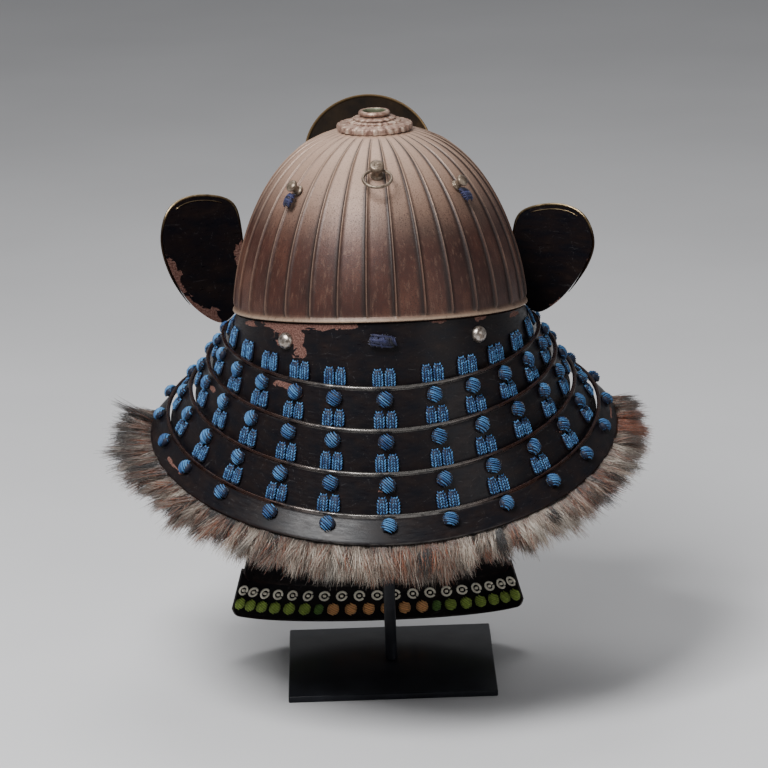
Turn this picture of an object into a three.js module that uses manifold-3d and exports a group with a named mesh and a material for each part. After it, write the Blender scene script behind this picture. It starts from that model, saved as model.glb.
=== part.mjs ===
/**
 * A samurai helmet (kabuto) with the throat guard of its mask, on a plain display stand.
 *
 * Units are millimetres and +Z is up. The back of the helmet faces +Y, and the pieces named
 * right are on +X. The origin is the middle of the underside of the stand.
 * Angles run round the helmet from its back (0) through +X (90) to its front (180).
 */
import * as THREE from 'three';
import { mergeVertices } from 'three/addons/utils/BufferGeometryUtils.js';
import Module from 'manifold-3d';

const wasm = await Module();
wasm.setup();

const DEG = Math.PI / 180;
const FIT_GAP = 0.35;

// ---------------------------------------------------------------- driving dimensions

/** A level ellipse whose height changes from back to front. */
const ring = (halfWidth, back, front, zBack, zSide, zFront) =>
  ({ halfWidth, back, front, zBack, zSide, zFront });

const BOWL = {
  //        halfWidth back front zBack zSide zFront
  rim: ring(109.5, 123, 118, 308, 289, 273),
  topZ: 427,
  riseCurve: 1.7,
  roundCurve: 2.5,
  plates: 32,
  ridge: 1.3,
  ridgeFoot: 1.7,
  lip: 2,
  wall: 2.2,
  holeRadius: 9.8,
};

// The rolled top edge of each neck lame, then the bottom edge of the last one.
const EDGES = [
  //   halfWidth back front zBack  zSide  zFront
  ring(121.6, 136, 128, 261.7, 271.9, 267),
  ring(134.0, 149, 139, 233.4, 253.8, 255),
  ring(148.0, 161, 150, 204.1, 231.7, 241),
  ring(166.0, 175, 160, 176.3, 212.7, 227),
  ring(178.6, 186, 170, 158.3, 196.9, 212),
];

const LAME = {
  thickness: 1.8,
  facet: 7.6,
  facetsEachSide: 16.5,
  columnSpread: 2.8,
  beadRadius: 2.2,
  beadLength: 3.6,
  radialStep: 7.7,
  overlap: 8,
  topInset: 0.5,
  topDrop: 1.6,
};

const LACING = {
  columnsEachSide: 8,
  slotDistance: 6.2,
  slotWidth: 10,
  slotHeight: 3.6,
  strap: 1.8,
  strapWidth: 8.5,
  pairWidth: 18,
  pairHeight: 3.4,
  pairLength: 12,
  knotWidth: 13,
  knotHeight: 6,
  waistWidth: 8,
  waistHeight: 1.3,
};

const TURNBACK = {
  foldX: 78,
  foldY: -82,
  sweepBack: 0.5,
  outerX: 164,
  thickness: 2,
  bulge: 5,
  rimRadius: 1.5,
  liftRight: 4,
  liftLeft: -12,
  liftFrom: 280,
  liftSpan: 80,
};

const CREST = { radius: 51, lean: 35, x: 4, y: -152, z: 374, thickness: 1.7, rimWidth: 2.4, rimHeight: 1.7 };

const RING = {
  eyeHeight: 6.4,
  eyeRadius: 2.15,
  shankRadius: 3.4,
  headRadius: 5.3,
  radius: 10.4,
  wire: 1.15,
  droop: 25,
  seatRise: 0.82,
};

const FRINGE = { end: 102.6, lockLength: 33, shortLock: 25, droopBack: 54, droopSide: 11, root: 5, backing: 9 };

const GUARD = {
  x: 9,
  halfWidth: 112,
  taper: 0.28,
  y: -66,
  sweep: 36,
  spread: 66,
  bottomZ: 13,
  endRise: 21.5,
  lameHeight: 38,
  lameStep: 30,
  lames: 3,
  stagger: 2.6,
  thickness: 1.8,
  facets: 19,
  knotRadius: 4.9,
  knotHeight: 2,
  lowerRow: 10.5,
  upperRow: 21.5,
};

const STAND = { width: 159, depth: 155, thickness: 5, postRadius: 4.5, armZ: 98 };

// ---------------------------------------------------------------- materials

const finish = (color, roughness, metalness) =>
  new THREE.MeshStandardMaterial({ color, roughness, metalness });

const RUSSET_IRON = finish(0x7d5f4f, 0.6, 0.7);
const AGED_BRASS = finish(0x8d7a52, 0.45, 0.8);
const SILVER = finish(0xb5b2ac, 0.3, 0.9);
const BLACK_LACQUER = finish(0x15151b, 0.25, 0.0);
const BLUE_BRAID = finish(0x2f6fb4, 0.8, 0.0);
const INDIGO_CORD = finish(0x2b2f6a, 0.8, 0.0);
const CREAM_CORD = finish(0xcfc8ad, 0.85, 0.0);
const GREEN_CORD = finish(0x5f7a24, 0.85, 0.0);
const FUR = finish(0x9a8b7e, 0.95, 0.0);
const BLACK_STEEL = finish(0x1b1c20, 0.4, 0.6);

// ---------------------------------------------------------------- solids

const helmet = new THREE.Group();

/** Adds one named piece to the group. */
function addPiece(name, geometry, material) {
  const mesh = new THREE.Mesh(geometry, material);
  mesh.name = name;
  helmet.add(mesh);
  return mesh;
}

/** Six times the volume inside an indexed geometry, negative when it is inside out. */
function signedVolume(geometry) {
  const position = geometry.getAttribute('position');
  const index = geometry.getIndex();
  const corner = [new THREE.Vector3(), new THREE.Vector3(), new THREE.Vector3()];
  let total = 0;
  for (let i = 0; i < index.count; i += 3) {
    corner.forEach((vertex, k) => vertex.fromBufferAttribute(position, index.getX(i + k)));
    total += corner[0].dot(corner[1].clone().cross(corner[2]));
  }
  return total;
}

/** Welds a geometry into one indexed shell with no flat slivers, facing outwards. */
function weld(source) {
  const bare = source.clone();
  bare.deleteAttribute('normal');
  bare.deleteAttribute('uv');
  const merged = mergeVertices(bare, 1e-3);
  const index = merged.getIndex();
  const faces = [];
  for (let i = 0; i < index.count; i += 3) {
    const [a, b, c] = [index.getX(i), index.getX(i + 1), index.getX(i + 2)];
    if (a !== b && b !== c && c !== a) faces.push([a, b, c]);
  }
  merged.setIndex(faces.flat());
  if (signedVolume(merged) < 0) {
    merged.setIndex(faces.flatMap(([a, b, c]) => [a, c, b]));
  }
  merged.computeVertexNormals();
  return merged;
}

/** The triangles that close an end ring, in the ring's own order. */
function endCap(points) {
  const normal = new THREE.Vector3();
  points.forEach((p, i) => normal.add(p.clone().cross(points[(i + 1) % points.length])));
  normal.normalize();
  const across = points[1].clone().sub(points[0]).normalize();
  const along = normal.clone().cross(across);
  const flat = points.map((p) => new THREE.Vector2(p.dot(across), p.dot(along)));
  return THREE.ShapeUtils.triangulateShape(flat, []);
}

/** A closed solid lofted through rings of points; a closed loft joins its last ring to its first. */
function loft(rings, closed = false) {
  const count = rings[0].length;
  const vertices = rings.flat().flatMap((p) => [p.x, p.y, p.z]);
  const faces = [];
  const spans = closed ? rings.length : rings.length - 1;
  for (let r = 0; r < spans; r += 1) {
    const here = r * count;
    const next = ((r + 1) % rings.length) * count;
    for (let k = 0; k < count; k += 1) {
      const j = (k + 1) % count;
      faces.push(here + k, here + j, next + j, here + k, next + j, next + k);
    }
  }
  if (!closed) {
    const last = (rings.length - 1) * count;
    endCap(rings[0]).forEach(([a, b, c]) => faces.push(a, c, b));
    endCap(rings[rings.length - 1]).forEach(([a, b, c]) => faces.push(last + a, last + b, last + c));
  }
  const geometry = new THREE.BufferGeometry();
  geometry.setAttribute('position', new THREE.Float32BufferAttribute(vertices, 3));
  geometry.setIndex(faces);
  return weld(geometry);
}

/** A lathe turned about +Z from [radius, height] pairs. */
function turned(profile, segments) {
  const points = profile.map(([radius, height]) => new THREE.Vector2(radius, height));
  return weld(new THREE.LatheGeometry(points, segments).rotateX(90 * DEG));
}

/** A manifold solid made from a geometry. */
function toSolid(geometry) {
  const welded = weld(geometry);
  const vertProperties = new Float32Array(welded.getAttribute('position').array);
  const triVerts = new Uint32Array(welded.getIndex().array);
  return new wasm.Manifold(new wasm.Mesh({ numProp: 3, vertProperties, triVerts }));
}

/** A geometry made from a manifold solid. */
function fromSolid(solid) {
  const { vertProperties, triVerts } = solid.getMesh();
  const geometry = new THREE.BufferGeometry();
  geometry.setAttribute('position', new THREE.Float32BufferAttribute(vertProperties, 3));
  geometry.setIndex(Array.from(triVerts));
  geometry.computeVertexNormals();
  return geometry;
}

/** The geometry left when cutters are taken from a body. */
function cut(body, cutters) {
  return fromSolid(cutters.reduce((solid, cutter) => solid.subtract(toSolid(cutter)), toSolid(body)));
}

/** Several overlapping geometries joined into one. */
function join(pieces) {
  return fromSolid(pieces.map(toSolid).reduce((all, piece) => all.add(piece)));
}

// ---------------------------------------------------------------- rings and frames

const grow = (base, by, drop = 0) => ring(
  base.halfWidth + by, base.back + by, base.front + by,
  base.zBack - drop, base.zSide - drop, base.zFront - drop,
);

/** The point of a ring at an angle in degrees. */
function ringPoint(base, angle) {
  const sine = Math.sin(angle * DEG);
  const cosine = Math.cos(angle * DEG);
  const tilt = (base.zBack - base.zFront) / 2;
  const bow = (base.zBack + base.zFront) / 2 - base.zSide;
  return new THREE.Vector3(
    base.halfWidth * sine,
    (cosine > 0 ? base.back : base.front) * cosine,
    base.zSide + tilt * cosine + bow * cosine * cosine,
  );
}

/** A frame on a surface: origin, then unit vectors across, down and out of it. */
function frameFrom(origin, across, down) {
  const d = down.clone().normalize();
  const w = across.clone().addScaledVector(d, -across.dot(d)).normalize();
  return { origin, across: w, down: d, out: d.clone().cross(w) };
}

/** The point at a place across, down and out of a frame. */
const inFrame = (frame, across, down, out) => frame.origin.clone()
  .addScaledVector(frame.across, across)
  .addScaledVector(frame.down, down)
  .addScaledVector(frame.out, out);

/** Moves a geometry modelled across +X, up +Y and out along +Z onto a frame. */
function place(geometry, frame, across, down, out) {
  const basis = new THREE.Matrix4().makeBasis(
    frame.across.clone(), frame.down.clone().negate(), frame.out.clone(),
  );
  if (basis.determinant() < 0) {
    basis.makeBasis(frame.across.clone().negate(), frame.down.clone().negate(), frame.out.clone());
  }
  basis.setPosition(inFrame(frame, across, down, out));
  return geometry.clone().applyMatrix4(basis);
}

// ---------------------------------------------------------------- bowl

/** A point of the bowl: rise 0 is the rim and 1 the crown. */
function bowlBase(rise, angle) {
  const rim = ringPoint(BOWL.rim, angle);
  const share = (1 - rise ** BOWL.riseCurve) ** (1 / BOWL.roundCurve);
  return new THREE.Vector3(rim.x * share, rim.y * share, rim.z + (BOWL.topZ - rim.z) * rise);
}

/** The same point moved out along the surface's normal. */
function bowlPoint(rise, angle, offset = 0) {
  const low = Math.max(rise - 0.004, 0);
  const high = Math.min(rise + 0.0005, 1);
  const up = bowlBase(high, angle).sub(bowlBase(low, angle));
  const round = bowlBase(rise, angle + 0.5).sub(bowlBase(rise, angle - 0.5));
  const normal = up.cross(round).normalize();
  return bowlBase(rise, angle).addScaledVector(normal, offset);
}

/** The rise at which the bowl has a share of its rim's radius. */
const riseAtShare = (share) => (1 - share ** BOWL.roundCurve) ** (1 / BOWL.riseCurve);

/** A frame standing on the bowl, with down towards the rim. */
function bowlFrame(rise, angle) {
  const down = bowlBase(rise - 0.01, angle).sub(bowlBase(rise + 0.01, angle));
  const across = bowlBase(rise, angle - 1).sub(bowlBase(rise, angle + 1));
  const frame = frameFrom(bowlBase(rise, angle), across, down);
  if (frame.out.dot(frame.origin.clone().setZ(0)) < 0) frame.out.negate();
  return frame;
}

function makeBowl() {
  const hole = riseAtShare(BOWL.holeRadius / BOWL.rim.halfWidth);
  const outerRises = [0, 0.04, 0.25, 0.47, 0.68, 0.86, 0.96, hole];
  const innerRises = [hole, 0.86, 0.78, 0.45, 0.06, 0];
  const step = 360 / BOWL.plates;
  const sections = [];
  for (let plate = 0; plate < BOWL.plates; plate += 1) {
    const ridgeAngle = (plate + 0.5) * step;
    [[ridgeAngle, BOWL.ridge], [ridgeAngle + BOWL.ridgeFoot, 0]].forEach(([angle, height]) => {
      const outer = outerRises.map((rise, row) => {
        const fade = rise > 0.95 ? 0 : 1 - 0.4 * rise;
        return bowlPoint(rise, angle, row === 0 ? BOWL.lip : height * fade);
      });
      const inner = innerRises.map((rise) => bowlPoint(rise, angle, -BOWL.wall));
      sections.push([...outer, ...inner]);
    });
  }
  addPiece('bowl', loft(sections, true), RUSSET_IRON);
}

// ---------------------------------------------------------------- crown fitting

/** A washer with a lobed or toothed edge of a radius, rising from its edge to its bore. */
function lobedWasher(name, { radius, dip, lobes, low, high, boreLow, boreHigh }) {
  const bore = BOWL.holeRadius;
  const sections = [];
  for (let i = 0; i < lobes * 2; i += 1) {
    const angle = (i * 180) / lobes;
    const edge = radius - (i % 2 ? dip : 0);
    const at = (r, z) => new THREE.Vector3(r * Math.sin(angle * DEG), r * Math.cos(angle * DEG), z);
    sections.push([at(edge, low), at(edge, high), at(bore, boreHigh), at(bore, boreLow)]);
  }
  addPiece(name, loft(sections, true), RUSSET_IRON);
}

function makeCrown() {
  lobedWasher('crown_petals', {
    radius: 28.5, dip: 1, lobes: 24, low: 425.6, high: 429.6, boreLow: 427.5, boreHigh: 432.4,
  });
  lobedWasher('crown_teeth', {
    radius: 20.3, dip: 1.6, lobes: 18, low: 431.3, high: 432.2, boreLow: 432.8, boreHigh: 434,
  });
  lobedWasher('crown_petals_upper', {
    radius: 16.3, dip: 0.9, lobes: 12, low: 433.5, high: 434.4, boreLow: 434.4, boreHigh: 435.6,
  });
  const tube = BOWL.holeRadius - 0.5;
  addPiece('crown_ring', turned([
    [tube - 1.3, 422], [tube, 422], [tube, 436], [11.2, 436],
    [11.8, 437.8], [10.6, 439.5], [tube - 1.3, 438.6], [tube - 1.3, 422],
  ], 16), RUSSET_IRON);
}

// ---------------------------------------------------------------- bowl fittings

/** A dome-headed post seated on the bowl. */
function bowlPost(height, headRadius, segments) {
  return turned([
    [0, 0], [headRadius, 0], [headRadius * 0.6, 1.4], [headRadius * 0.6, height - 4],
    [headRadius, height - 3.4], [headRadius * 0.8, height - 1], [0, height],
  ], segments);
}

function makeBowlPosts() {
  const seat = riseAtShare(0.71);
  const spots = [['rear_post_right', 47.5], ['rear_post_left', -47.5],
    ['front_post_right', 132.5], ['front_post_left', -132.5]];
  const clear = BOWL.ridge + FIT_GAP;
  spots.forEach(([name, angle]) => {
    const frame = bowlFrame(seat, angle);
    addPiece(name, place(bowlPost(9.5, 4.6, 8), frame, 0, 0, clear), RUSSET_IRON);
  });
  [['rear_cord_right', 47.5], ['rear_cord_left', -47.5]].forEach(([name, angle]) => {
    const frame = bowlFrame(seat, angle);
    const loop = new THREE.CapsuleGeometry(2.6, 4.5, 2, 7);
    addPiece(name, place(weld(loop), frame, 0, 10.5, clear + 2.8), INDIGO_CORD);
  });
}

const ringFrame = bowlFrame(RING.seatRise, 0);
const ringEye = inFrame(ringFrame, 0, 0, RING.eyeHeight + FIT_GAP);

function makeRearRing() {
  const profile = [
    [0, 0], [5, 0], [RING.shankRadius, 1.6], [RING.shankRadius, 8.8],
    [RING.headRadius, 9.4], [RING.headRadius - 0.8, 11.9], [0, 12.8],
  ];
  const post = place(turned(profile, 12), ringFrame, 0, 0, FIT_GAP);
  const eye = new THREE.CylinderGeometry(RING.eyeRadius, RING.eyeRadius, 14, 8);
  eye.rotateZ(90 * DEG).translate(ringEye.x, ringEye.y, ringEye.z);
  addPiece('rear_ring_post', cut(post, [eye]), RUSSET_IRON);

  const hanging = new THREE.TorusGeometry(RING.radius, RING.wire, 4, 18);
  hanging.translate(0, -RING.radius, 0);
  hanging.rotateX((180 - RING.droop) * DEG);
  hanging.translate(ringEye.x, ringEye.y, ringEye.z);
  addPiece('cord_ring', weld(hanging), AGED_BRASS);
}

// ---------------------------------------------------------------- brow band, visor and crest

function makeBrowBand() {
  const outer = grow(BOWL.rim, -BOWL.wall - 0.8);
  const inner = grow(BOWL.rim, -BOWL.wall - 2.6);
  const sections = [];
  for (let angle = 0; angle < 360; angle += 12) {
    const [o, i] = [ringPoint(outer, angle), ringPoint(inner, angle)];
    sections.push([6, -15].map((z) => o.clone().setZ(o.z + z))
      .concat([-15, 6].map((z) => i.clone().setZ(i.z + z))));
  }
  addPiece('brow_band', loft(sections, true), RUSSET_IRON);
}

const VISOR = { halfSpan: 42, reach: 34, endReach: 5, fall: 0.45, thickness: 2, drop: 2.6, steps: 14 };

function makeVisor() {
  const inset = -BOWL.wall - 0.2;
  const sections = [];
  for (let i = 0; i <= VISOR.steps; i += 1) {
    const turn = (i / VISOR.steps) * 2 - 1;
    const reach = VISOR.endReach + (VISOR.reach - VISOR.endReach) * Math.sqrt(Math.max(0, 1 - turn ** 2));
    const angle = 180 + turn * VISOR.halfSpan;
    const root = ringPoint(grow(BOWL.rim, inset, VISOR.drop), angle);
    const edge = ringPoint(grow(BOWL.rim, inset + reach, VISOR.drop + reach * VISOR.fall), angle);
    const low = new THREE.Vector3(0, 0, -VISOR.thickness);
    sections.push([root, edge, edge.clone().add(low), root.clone().add(low)]);
  }
  const holder = new THREE.BoxGeometry(14, 6, 24).translate(0, -125.5, 275);
  const socket = new THREE.BoxGeometry(8.8, 2.4, 30).translate(0, -125.5, 286);
  addPiece('visor', cut(join([loft(sections), holder]), [socket]), BLACK_LACQUER);
}

function makeCrest() {
  const { radius, rimWidth, rimHeight } = CREST;
  const face = CREST.thickness / 2;
  const disc = turned([
    [0, -face], [radius - rimWidth, -face], [radius - 0.6, -rimHeight], [radius, 0],
    [radius - 0.6, rimHeight], [radius - rimWidth, face], [0, face],
  ], 24);
  disc.rotateX((90 + CREST.lean) * DEG).translate(CREST.x, CREST.y, CREST.z);
  const stem = new THREE.BoxGeometry(8, 1.7, 66).translate(0, -125.5, 305);
  addPiece('crest', join([disc, stem]), AGED_BRASS);
}

// ---------------------------------------------------------------- neck lames

/** The rings of a lame: its top edge, and the level that the next lame's top edge covers. */
function lameRings(lame) {
  const top = lame === 0
    ? grow(BOWL.rim, -LAME.topInset, LAME.topDrop)
    : grow(EDGES[lame - 1], -LAME.beadRadius);
  const level = lame === 4 ? EDGES[4] : grow(EDGES[lame], -LAME.radialStep);
  return { top, level };
}

/** The frame at an angle of a lame, with the distance down to its covered level. */
function lameFrame(lame, angle) {
  const { top, level } = lameRings(lame);
  const down = ringPoint(level, angle).sub(ringPoint(top, angle));
  const across = ringPoint(top, angle - 1).sub(ringPoint(top, angle + 1));
  return { ...frameFrom(ringPoint(top, angle), across, down), length: down.length() };
}

/** The angle of a place counted in facets. The upper lames' columns stand further from the middle. */
function facetAngle(lame, at) {
  const near = Math.min(Math.abs(at) / 2, Math.max(0, 1 - (Math.abs(at) - 2) / 6));
  return at * LAME.facet + Math.sign(at) * near * LAME.columnSpread * (1 - lame / 4);
}

/** The frame at the middle of a lame's flat facet, with half its width along its top and level. */
function facetFrame(lame, facet) {
  const { top, level } = lameRings(lame);
  const [a, b] = [facetAngle(lame, facet - 0.5), facetAngle(lame, facet + 0.5)];
  const [topA, topB] = [ringPoint(top, a), ringPoint(top, b)];
  const [levelA, levelB] = [ringPoint(level, a), ringPoint(level, b)];
  const topMid = topA.clone().add(topB).multiplyScalar(0.5);
  const down = levelA.clone().add(levelB).multiplyScalar(0.5).sub(topMid);
  return {
    ...frameFrom(topMid, topA.clone().sub(topB), down),
    length: down.length(),
    halfTop: topA.distanceTo(topB) / 2,
    halfLevel: levelA.distanceTo(levelB) / 2,
  };
}

/** The section of a lame between two facets, in the plane of the one that carries lacing. */
function lameSection(lame, at) {
  const laced = (at - 0.5) % 2 === 0 ? at - 0.5 : at + 0.5;
  const side = laced < at ? -1 : 1;
  const frame = facetFrame(lame, laced);
  const point = (down, out) => {
    const half = frame.halfTop + (frame.halfLevel - frame.halfTop) * (down / frame.length);
    return inFrame(frame, side * half, down, out);
  };
  const end = frame.length + (lame === 4 ? 0 : LAME.overlap);
  const bead = lame === 0
    ? [point(0, 0)]
    : [point(-0.8, LAME.beadRadius * 0.8), point(LAME.beadLength, 0)];
  return [point(0, -LAME.thickness), ...bead, point(end, 0), point(end, -LAME.thickness)];
}

/** A lame's shell, lofted from end to end. */
function lameShell(lame) {
  const last = LAME.facetsEachSide + (lame === 0 ? 1 : 0);
  const sections = [];
  for (let at = -last; at <= last; at += 1) sections.push(lameSection(lame, at));
  return loft(sections);
}

/** The slots that a lame's lacing comes out through, one in each laced facet. */
function lacingSlots(lame) {
  const slots = [];
  for (let column = -LACING.columnsEachSide; column <= LACING.columnsEachSide; column += 1) {
    const slot = new THREE.BoxGeometry(LACING.slotWidth, LACING.slotHeight, 8);
    slots.push(place(slot, facetFrame(lame, column * 2), 0, LACING.slotDistance, 0));
  }
  return slots;
}

// ---------------------------------------------------------------- turnbacks

/** The outline of a turnback seen from behind, as x and z. */
function turnbackShape() {
  const points = [[123, 263], [143, 279], [158, 306], [164, 333], [157, 355], [138, 361], [113, 353],
    [106, 331], [104, 297]].map(([x, z]) => new THREE.Vector2(x, z));
  const shape = new THREE.Shape();
  shape.moveTo(TURNBACK.foldX, 263);
  shape.lineTo(91, 266);
  shape.lineTo(98, 275);
  shape.lineTo(108, 274);
  shape.splineThru(points);
  shape.lineTo(91, 284);
  shape.lineTo(87, 275.5);
  shape.lineTo(TURNBACK.foldX, 275.5);
  return shape;
}

/** Bends a flat turnback point (x, z, depth) into its place beside the bowl. */
function turnbackPoint(x, z, depth, side) {
  const reach = (x - TURNBACK.foldX) / (TURNBACK.outerX - TURNBACK.foldX);
  const slope = TURNBACK.sweepBack;
  const length = Math.hypot(1, slope);
  const lift = side > 0 ? TURNBACK.liftRight : TURNBACK.liftLeft;
  const raised = lift * THREE.MathUtils.smoothstep(z, TURNBACK.liftFrom, TURNBACK.liftFrom + TURNBACK.liftSpan);
  const y = TURNBACK.foldY + (x - TURNBACK.foldX) * slope - TURNBACK.bulge * 4 * reach * (1 - reach);
  return new THREE.Vector3(side * (x - (depth * slope) / length), y + depth / length, z + raised);
}

/** One turnback plate. */
function turnbackPlate(side) {
  const plate = weld(new THREE.ExtrudeGeometry(turnbackShape(), {
    depth: TURNBACK.thickness, bevelEnabled: false, curveSegments: 2,
  }));
  const position = plate.getAttribute('position');
  for (let i = 0; i < position.count; i += 1) {
    const [x, z, depth] = [position.getX(i), position.getY(i), position.getZ(i)];
    position.setXYZ(i, ...turnbackPoint(x, z, depth - TURNBACK.thickness / 2, side));
  }
  return weld(plate);
}

/** The brass edging of a turnback's upper edge. */
function makeTurnbackRim(name, side) {
  const outline = turnbackShape().getPoints(2);
  const clear = TURNBACK.rimRadius + FIT_GAP + 0.25;
  const route = [];
  outline.forEach(({ x, y: z }, i) => {
    if (i < 8 || i > outline.length - 7) return;
    const [before, after] = [outline[i - 1], outline[i + 1]];
    const tangent = after.clone().sub(before).normalize();
    const [edgeX, edgeZ] = [x + tangent.y * clear, z - tangent.x * clear];
    route.push(turnbackPoint(edgeX, edgeZ, 0, side));
  });
  const section = new THREE.Shape();
  section.absarc(0, 0, TURNBACK.rimRadius, 0, 2 * Math.PI);
  const rim = new THREE.ExtrudeGeometry(section, {
    steps: route.length, bevelEnabled: false, curveSegments: 3,
    extrudePath: new THREE.CatmullRomCurve3(route),
  });
  addPiece(name, weld(rim), AGED_BRASS);
}

// ---------------------------------------------------------------- lames and their fittings

const RIVET = { facet: 5, down: 12, shank: 1.5, bore: 1.95, head: 5.9 };

function makeLames() {
  const rivetBores = [-1, 1].map((side) => {
    const bore = new THREE.CylinderGeometry(RIVET.bore, RIVET.bore, 10, 8).rotateX(90 * DEG);
    return place(bore, facetFrame(0, side * RIVET.facet), 0, RIVET.down, 0);
  });
  const first = join([lameShell(0), turnbackPlate(-1), turnbackPlate(1)]);
  addPiece('lame_1', cut(first, rivetBores), BLACK_LACQUER);
  for (let lame = 1; lame < EDGES.length; lame += 1) {
    addPiece(`lame_${lame + 1}`, cut(lameShell(lame), lacingSlots(lame)), BLACK_LACQUER);
  }
}

function makeRivets() {
  [['rivet_right', 1], ['rivet_left', -1]].forEach(([name, side]) => {
    const rivet = turned([
      [0, -4], [RIVET.shank, -4], [RIVET.shank, 0], [RIVET.head, 0],
      [RIVET.head * 0.9, 1.9], [RIVET.head * 0.55, 3.6], [0, 4.2],
    ], 8);
    addPiece(name, place(rivet, facetFrame(0, side * RIVET.facet), 0, RIVET.down, FIT_GAP), SILVER);
  });
}

function makeCentreCord() {
  const cord = weld(new THREE.CapsuleGeometry(3.1, 13.5, 2, 7).rotateZ(90 * DEG));
  addPiece('centre_cord', place(cord, facetFrame(0, 0), 0, 12, 3.1 + FIT_GAP), INDIGO_CORD);
}

// ---------------------------------------------------------------- lacing

/** A flat lacing section that runs down a frame. */
function strapSection(frame, down, width, low, high) {
  const half = width / 2;
  const top = half * 0.8;
  return [inFrame(frame, -half, down, low), inFrame(frame, -top, down, high),
    inFrame(frame, top, down, high), inFrame(frame, half, down, low)];
}

/** A lacing section that runs outwards through a slot. */
function slotSection(frame, out) {
  const half = LACING.strapWidth / 2;
  const [low, high] = [LACING.slotDistance + LACING.strap / 2, LACING.slotDistance - LACING.strap / 2];
  return [inFrame(frame, -half, low, out), inFrame(frame, -half, high, out),
    inFrame(frame, half, high, out), inFrame(frame, half, low, out)];
}

/** One column of lacing: braided pairs that pass behind the next lame and come out as knots. */
function makeLacingColumn(name, column) {
  const gap = FIT_GAP + 0.05;
  const sections = [];
  for (let lame = 0; lame < EDGES.length; lame += 1) {
    const frame = facetFrame(lame, column * 2);
    let pairTop = frame.length - Math.min(LACING.pairLength, frame.length * 0.7);
    if (lame > 0) {
      pairTop = Math.max(0.6 * frame.length, 5.4 + 0.42 * (frame.length - 4.4));
      const knotMiddle = LACING.slotDistance + 0.3 * (pairTop - LACING.slotDistance) + 1;
      sections.push(slotSection(frame, -LAME.thickness - gap), slotSection(frame, gap));
      sections.push(strapSection(frame, knotMiddle, LACING.knotWidth, gap, LACING.knotHeight));
    }
    sections.push(strapSection(frame, pairTop, LACING.waistWidth, gap, LACING.waistHeight));
    if (lame < 4) {
      const shoulder = pairTop + 0.18 * (frame.length - pairTop);
      sections.push(strapSection(frame, shoulder, LACING.pairWidth, gap, LACING.pairHeight));
      sections.push(strapSection(frame, frame.length + 2, LACING.pairWidth * 0.8, gap, 2.1));
    }
  }
  addPiece(name, loft(sections), BLUE_BRAID);
}

function makeLacing() {
  for (let column = -LACING.columnsEachSide; column <= LACING.columnsEachSide; column += 1) {
    const number = String(column + LACING.columnsEachSide + 1).padStart(2, '0');
    makeLacingColumn(`lacing_${number}`, column);
  }
}

// ---------------------------------------------------------------- fur fringe

function makeFringe() {
  const stepsPerFacet = 2;
  const last = Math.round((FRINGE.end / LAME.facet) * stepsPerFacet);
  const sections = [];
  for (let at = -last; at <= last; at += 1) {
    const angle = (at / stepsPerFacet) * LAME.facet;
    const frame = lameFrame(4, angle);
    const behind = -LAME.thickness - FIT_GAP - 0.2;
    const back = Math.max(0, Math.cos(angle * DEG)) ** 2;
    const droop = FRINGE.droopSide + (FRINGE.droopBack - FRINGE.droopSide) * back;
    const away = frame.out.clone().setZ(0).normalize();
    const direction = away.multiplyScalar(Math.cos(droop * DEG)).setZ(-Math.sin(droop * DEG));
    const ragged = 1 + 0.09 * Math.sin(at * 2.3) + 0.06 * Math.sin(at * 5.1);
    const length = (at % 2 ? FRINGE.shortLock : FRINGE.lockLength) * ragged;
    const root = inFrame(frame, 0, frame.length + FIT_GAP + 0.3, behind);
    const tip = root.clone().addScaledVector(direction, length);
    const under = inFrame(frame, 0, frame.length + 1, behind - FRINGE.root);
    sections.push([inFrame(frame, 0, frame.length - FRINGE.backing, behind), root, tip, under]);
  }
  addPiece('fur_fringe', loft(sections), FUR);
}

// ---------------------------------------------------------------- throat guard

/** A point of a throat guard lame: turn -1 to 1 across it, up from its bottom edge. */
function guardPoint(lame, turn, up, out = 0) {
  const raised = up + lame * GUARD.lameStep;
  const full = GUARD.spread * DEG;
  const bend = turn * full;
  const acrossRadius = (GUARD.halfWidth - GUARD.taper * raised) / Math.sin(full);
  const forwardRadius = GUARD.sweep / (1 - Math.cos(full));
  const inward = new THREE.Vector2(-forwardRadius * Math.sin(bend), acrossRadius * Math.cos(bend)).normalize();
  const stand = out + (lame - (GUARD.lames - 1)) * GUARD.stagger;
  return new THREE.Vector3(
    GUARD.x + acrossRadius * Math.sin(bend) + inward.x * stand,
    GUARD.y + forwardRadius * (1 - Math.cos(bend)) + inward.y * stand,
    GUARD.bottomZ + raised + GUARD.endRise * turn * turn,
  );
}

/** The shell of one throat guard lame. */
function guardLame(lame) {
  const sections = [];
  for (let i = 0; i <= GUARD.facets; i += 1) {
    const turn = (i / GUARD.facets) * 2 - 1;
    const trim = i === 0 || i === GUARD.facets ? 5 : 0;
    sections.push([
      guardPoint(lame, turn, trim), guardPoint(lame, turn, GUARD.lameHeight),
      guardPoint(lame, turn, GUARD.lameHeight, GUARD.thickness), guardPoint(lame, turn, trim, GUARD.thickness),
    ]);
  }
  return loft(sections);
}

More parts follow.
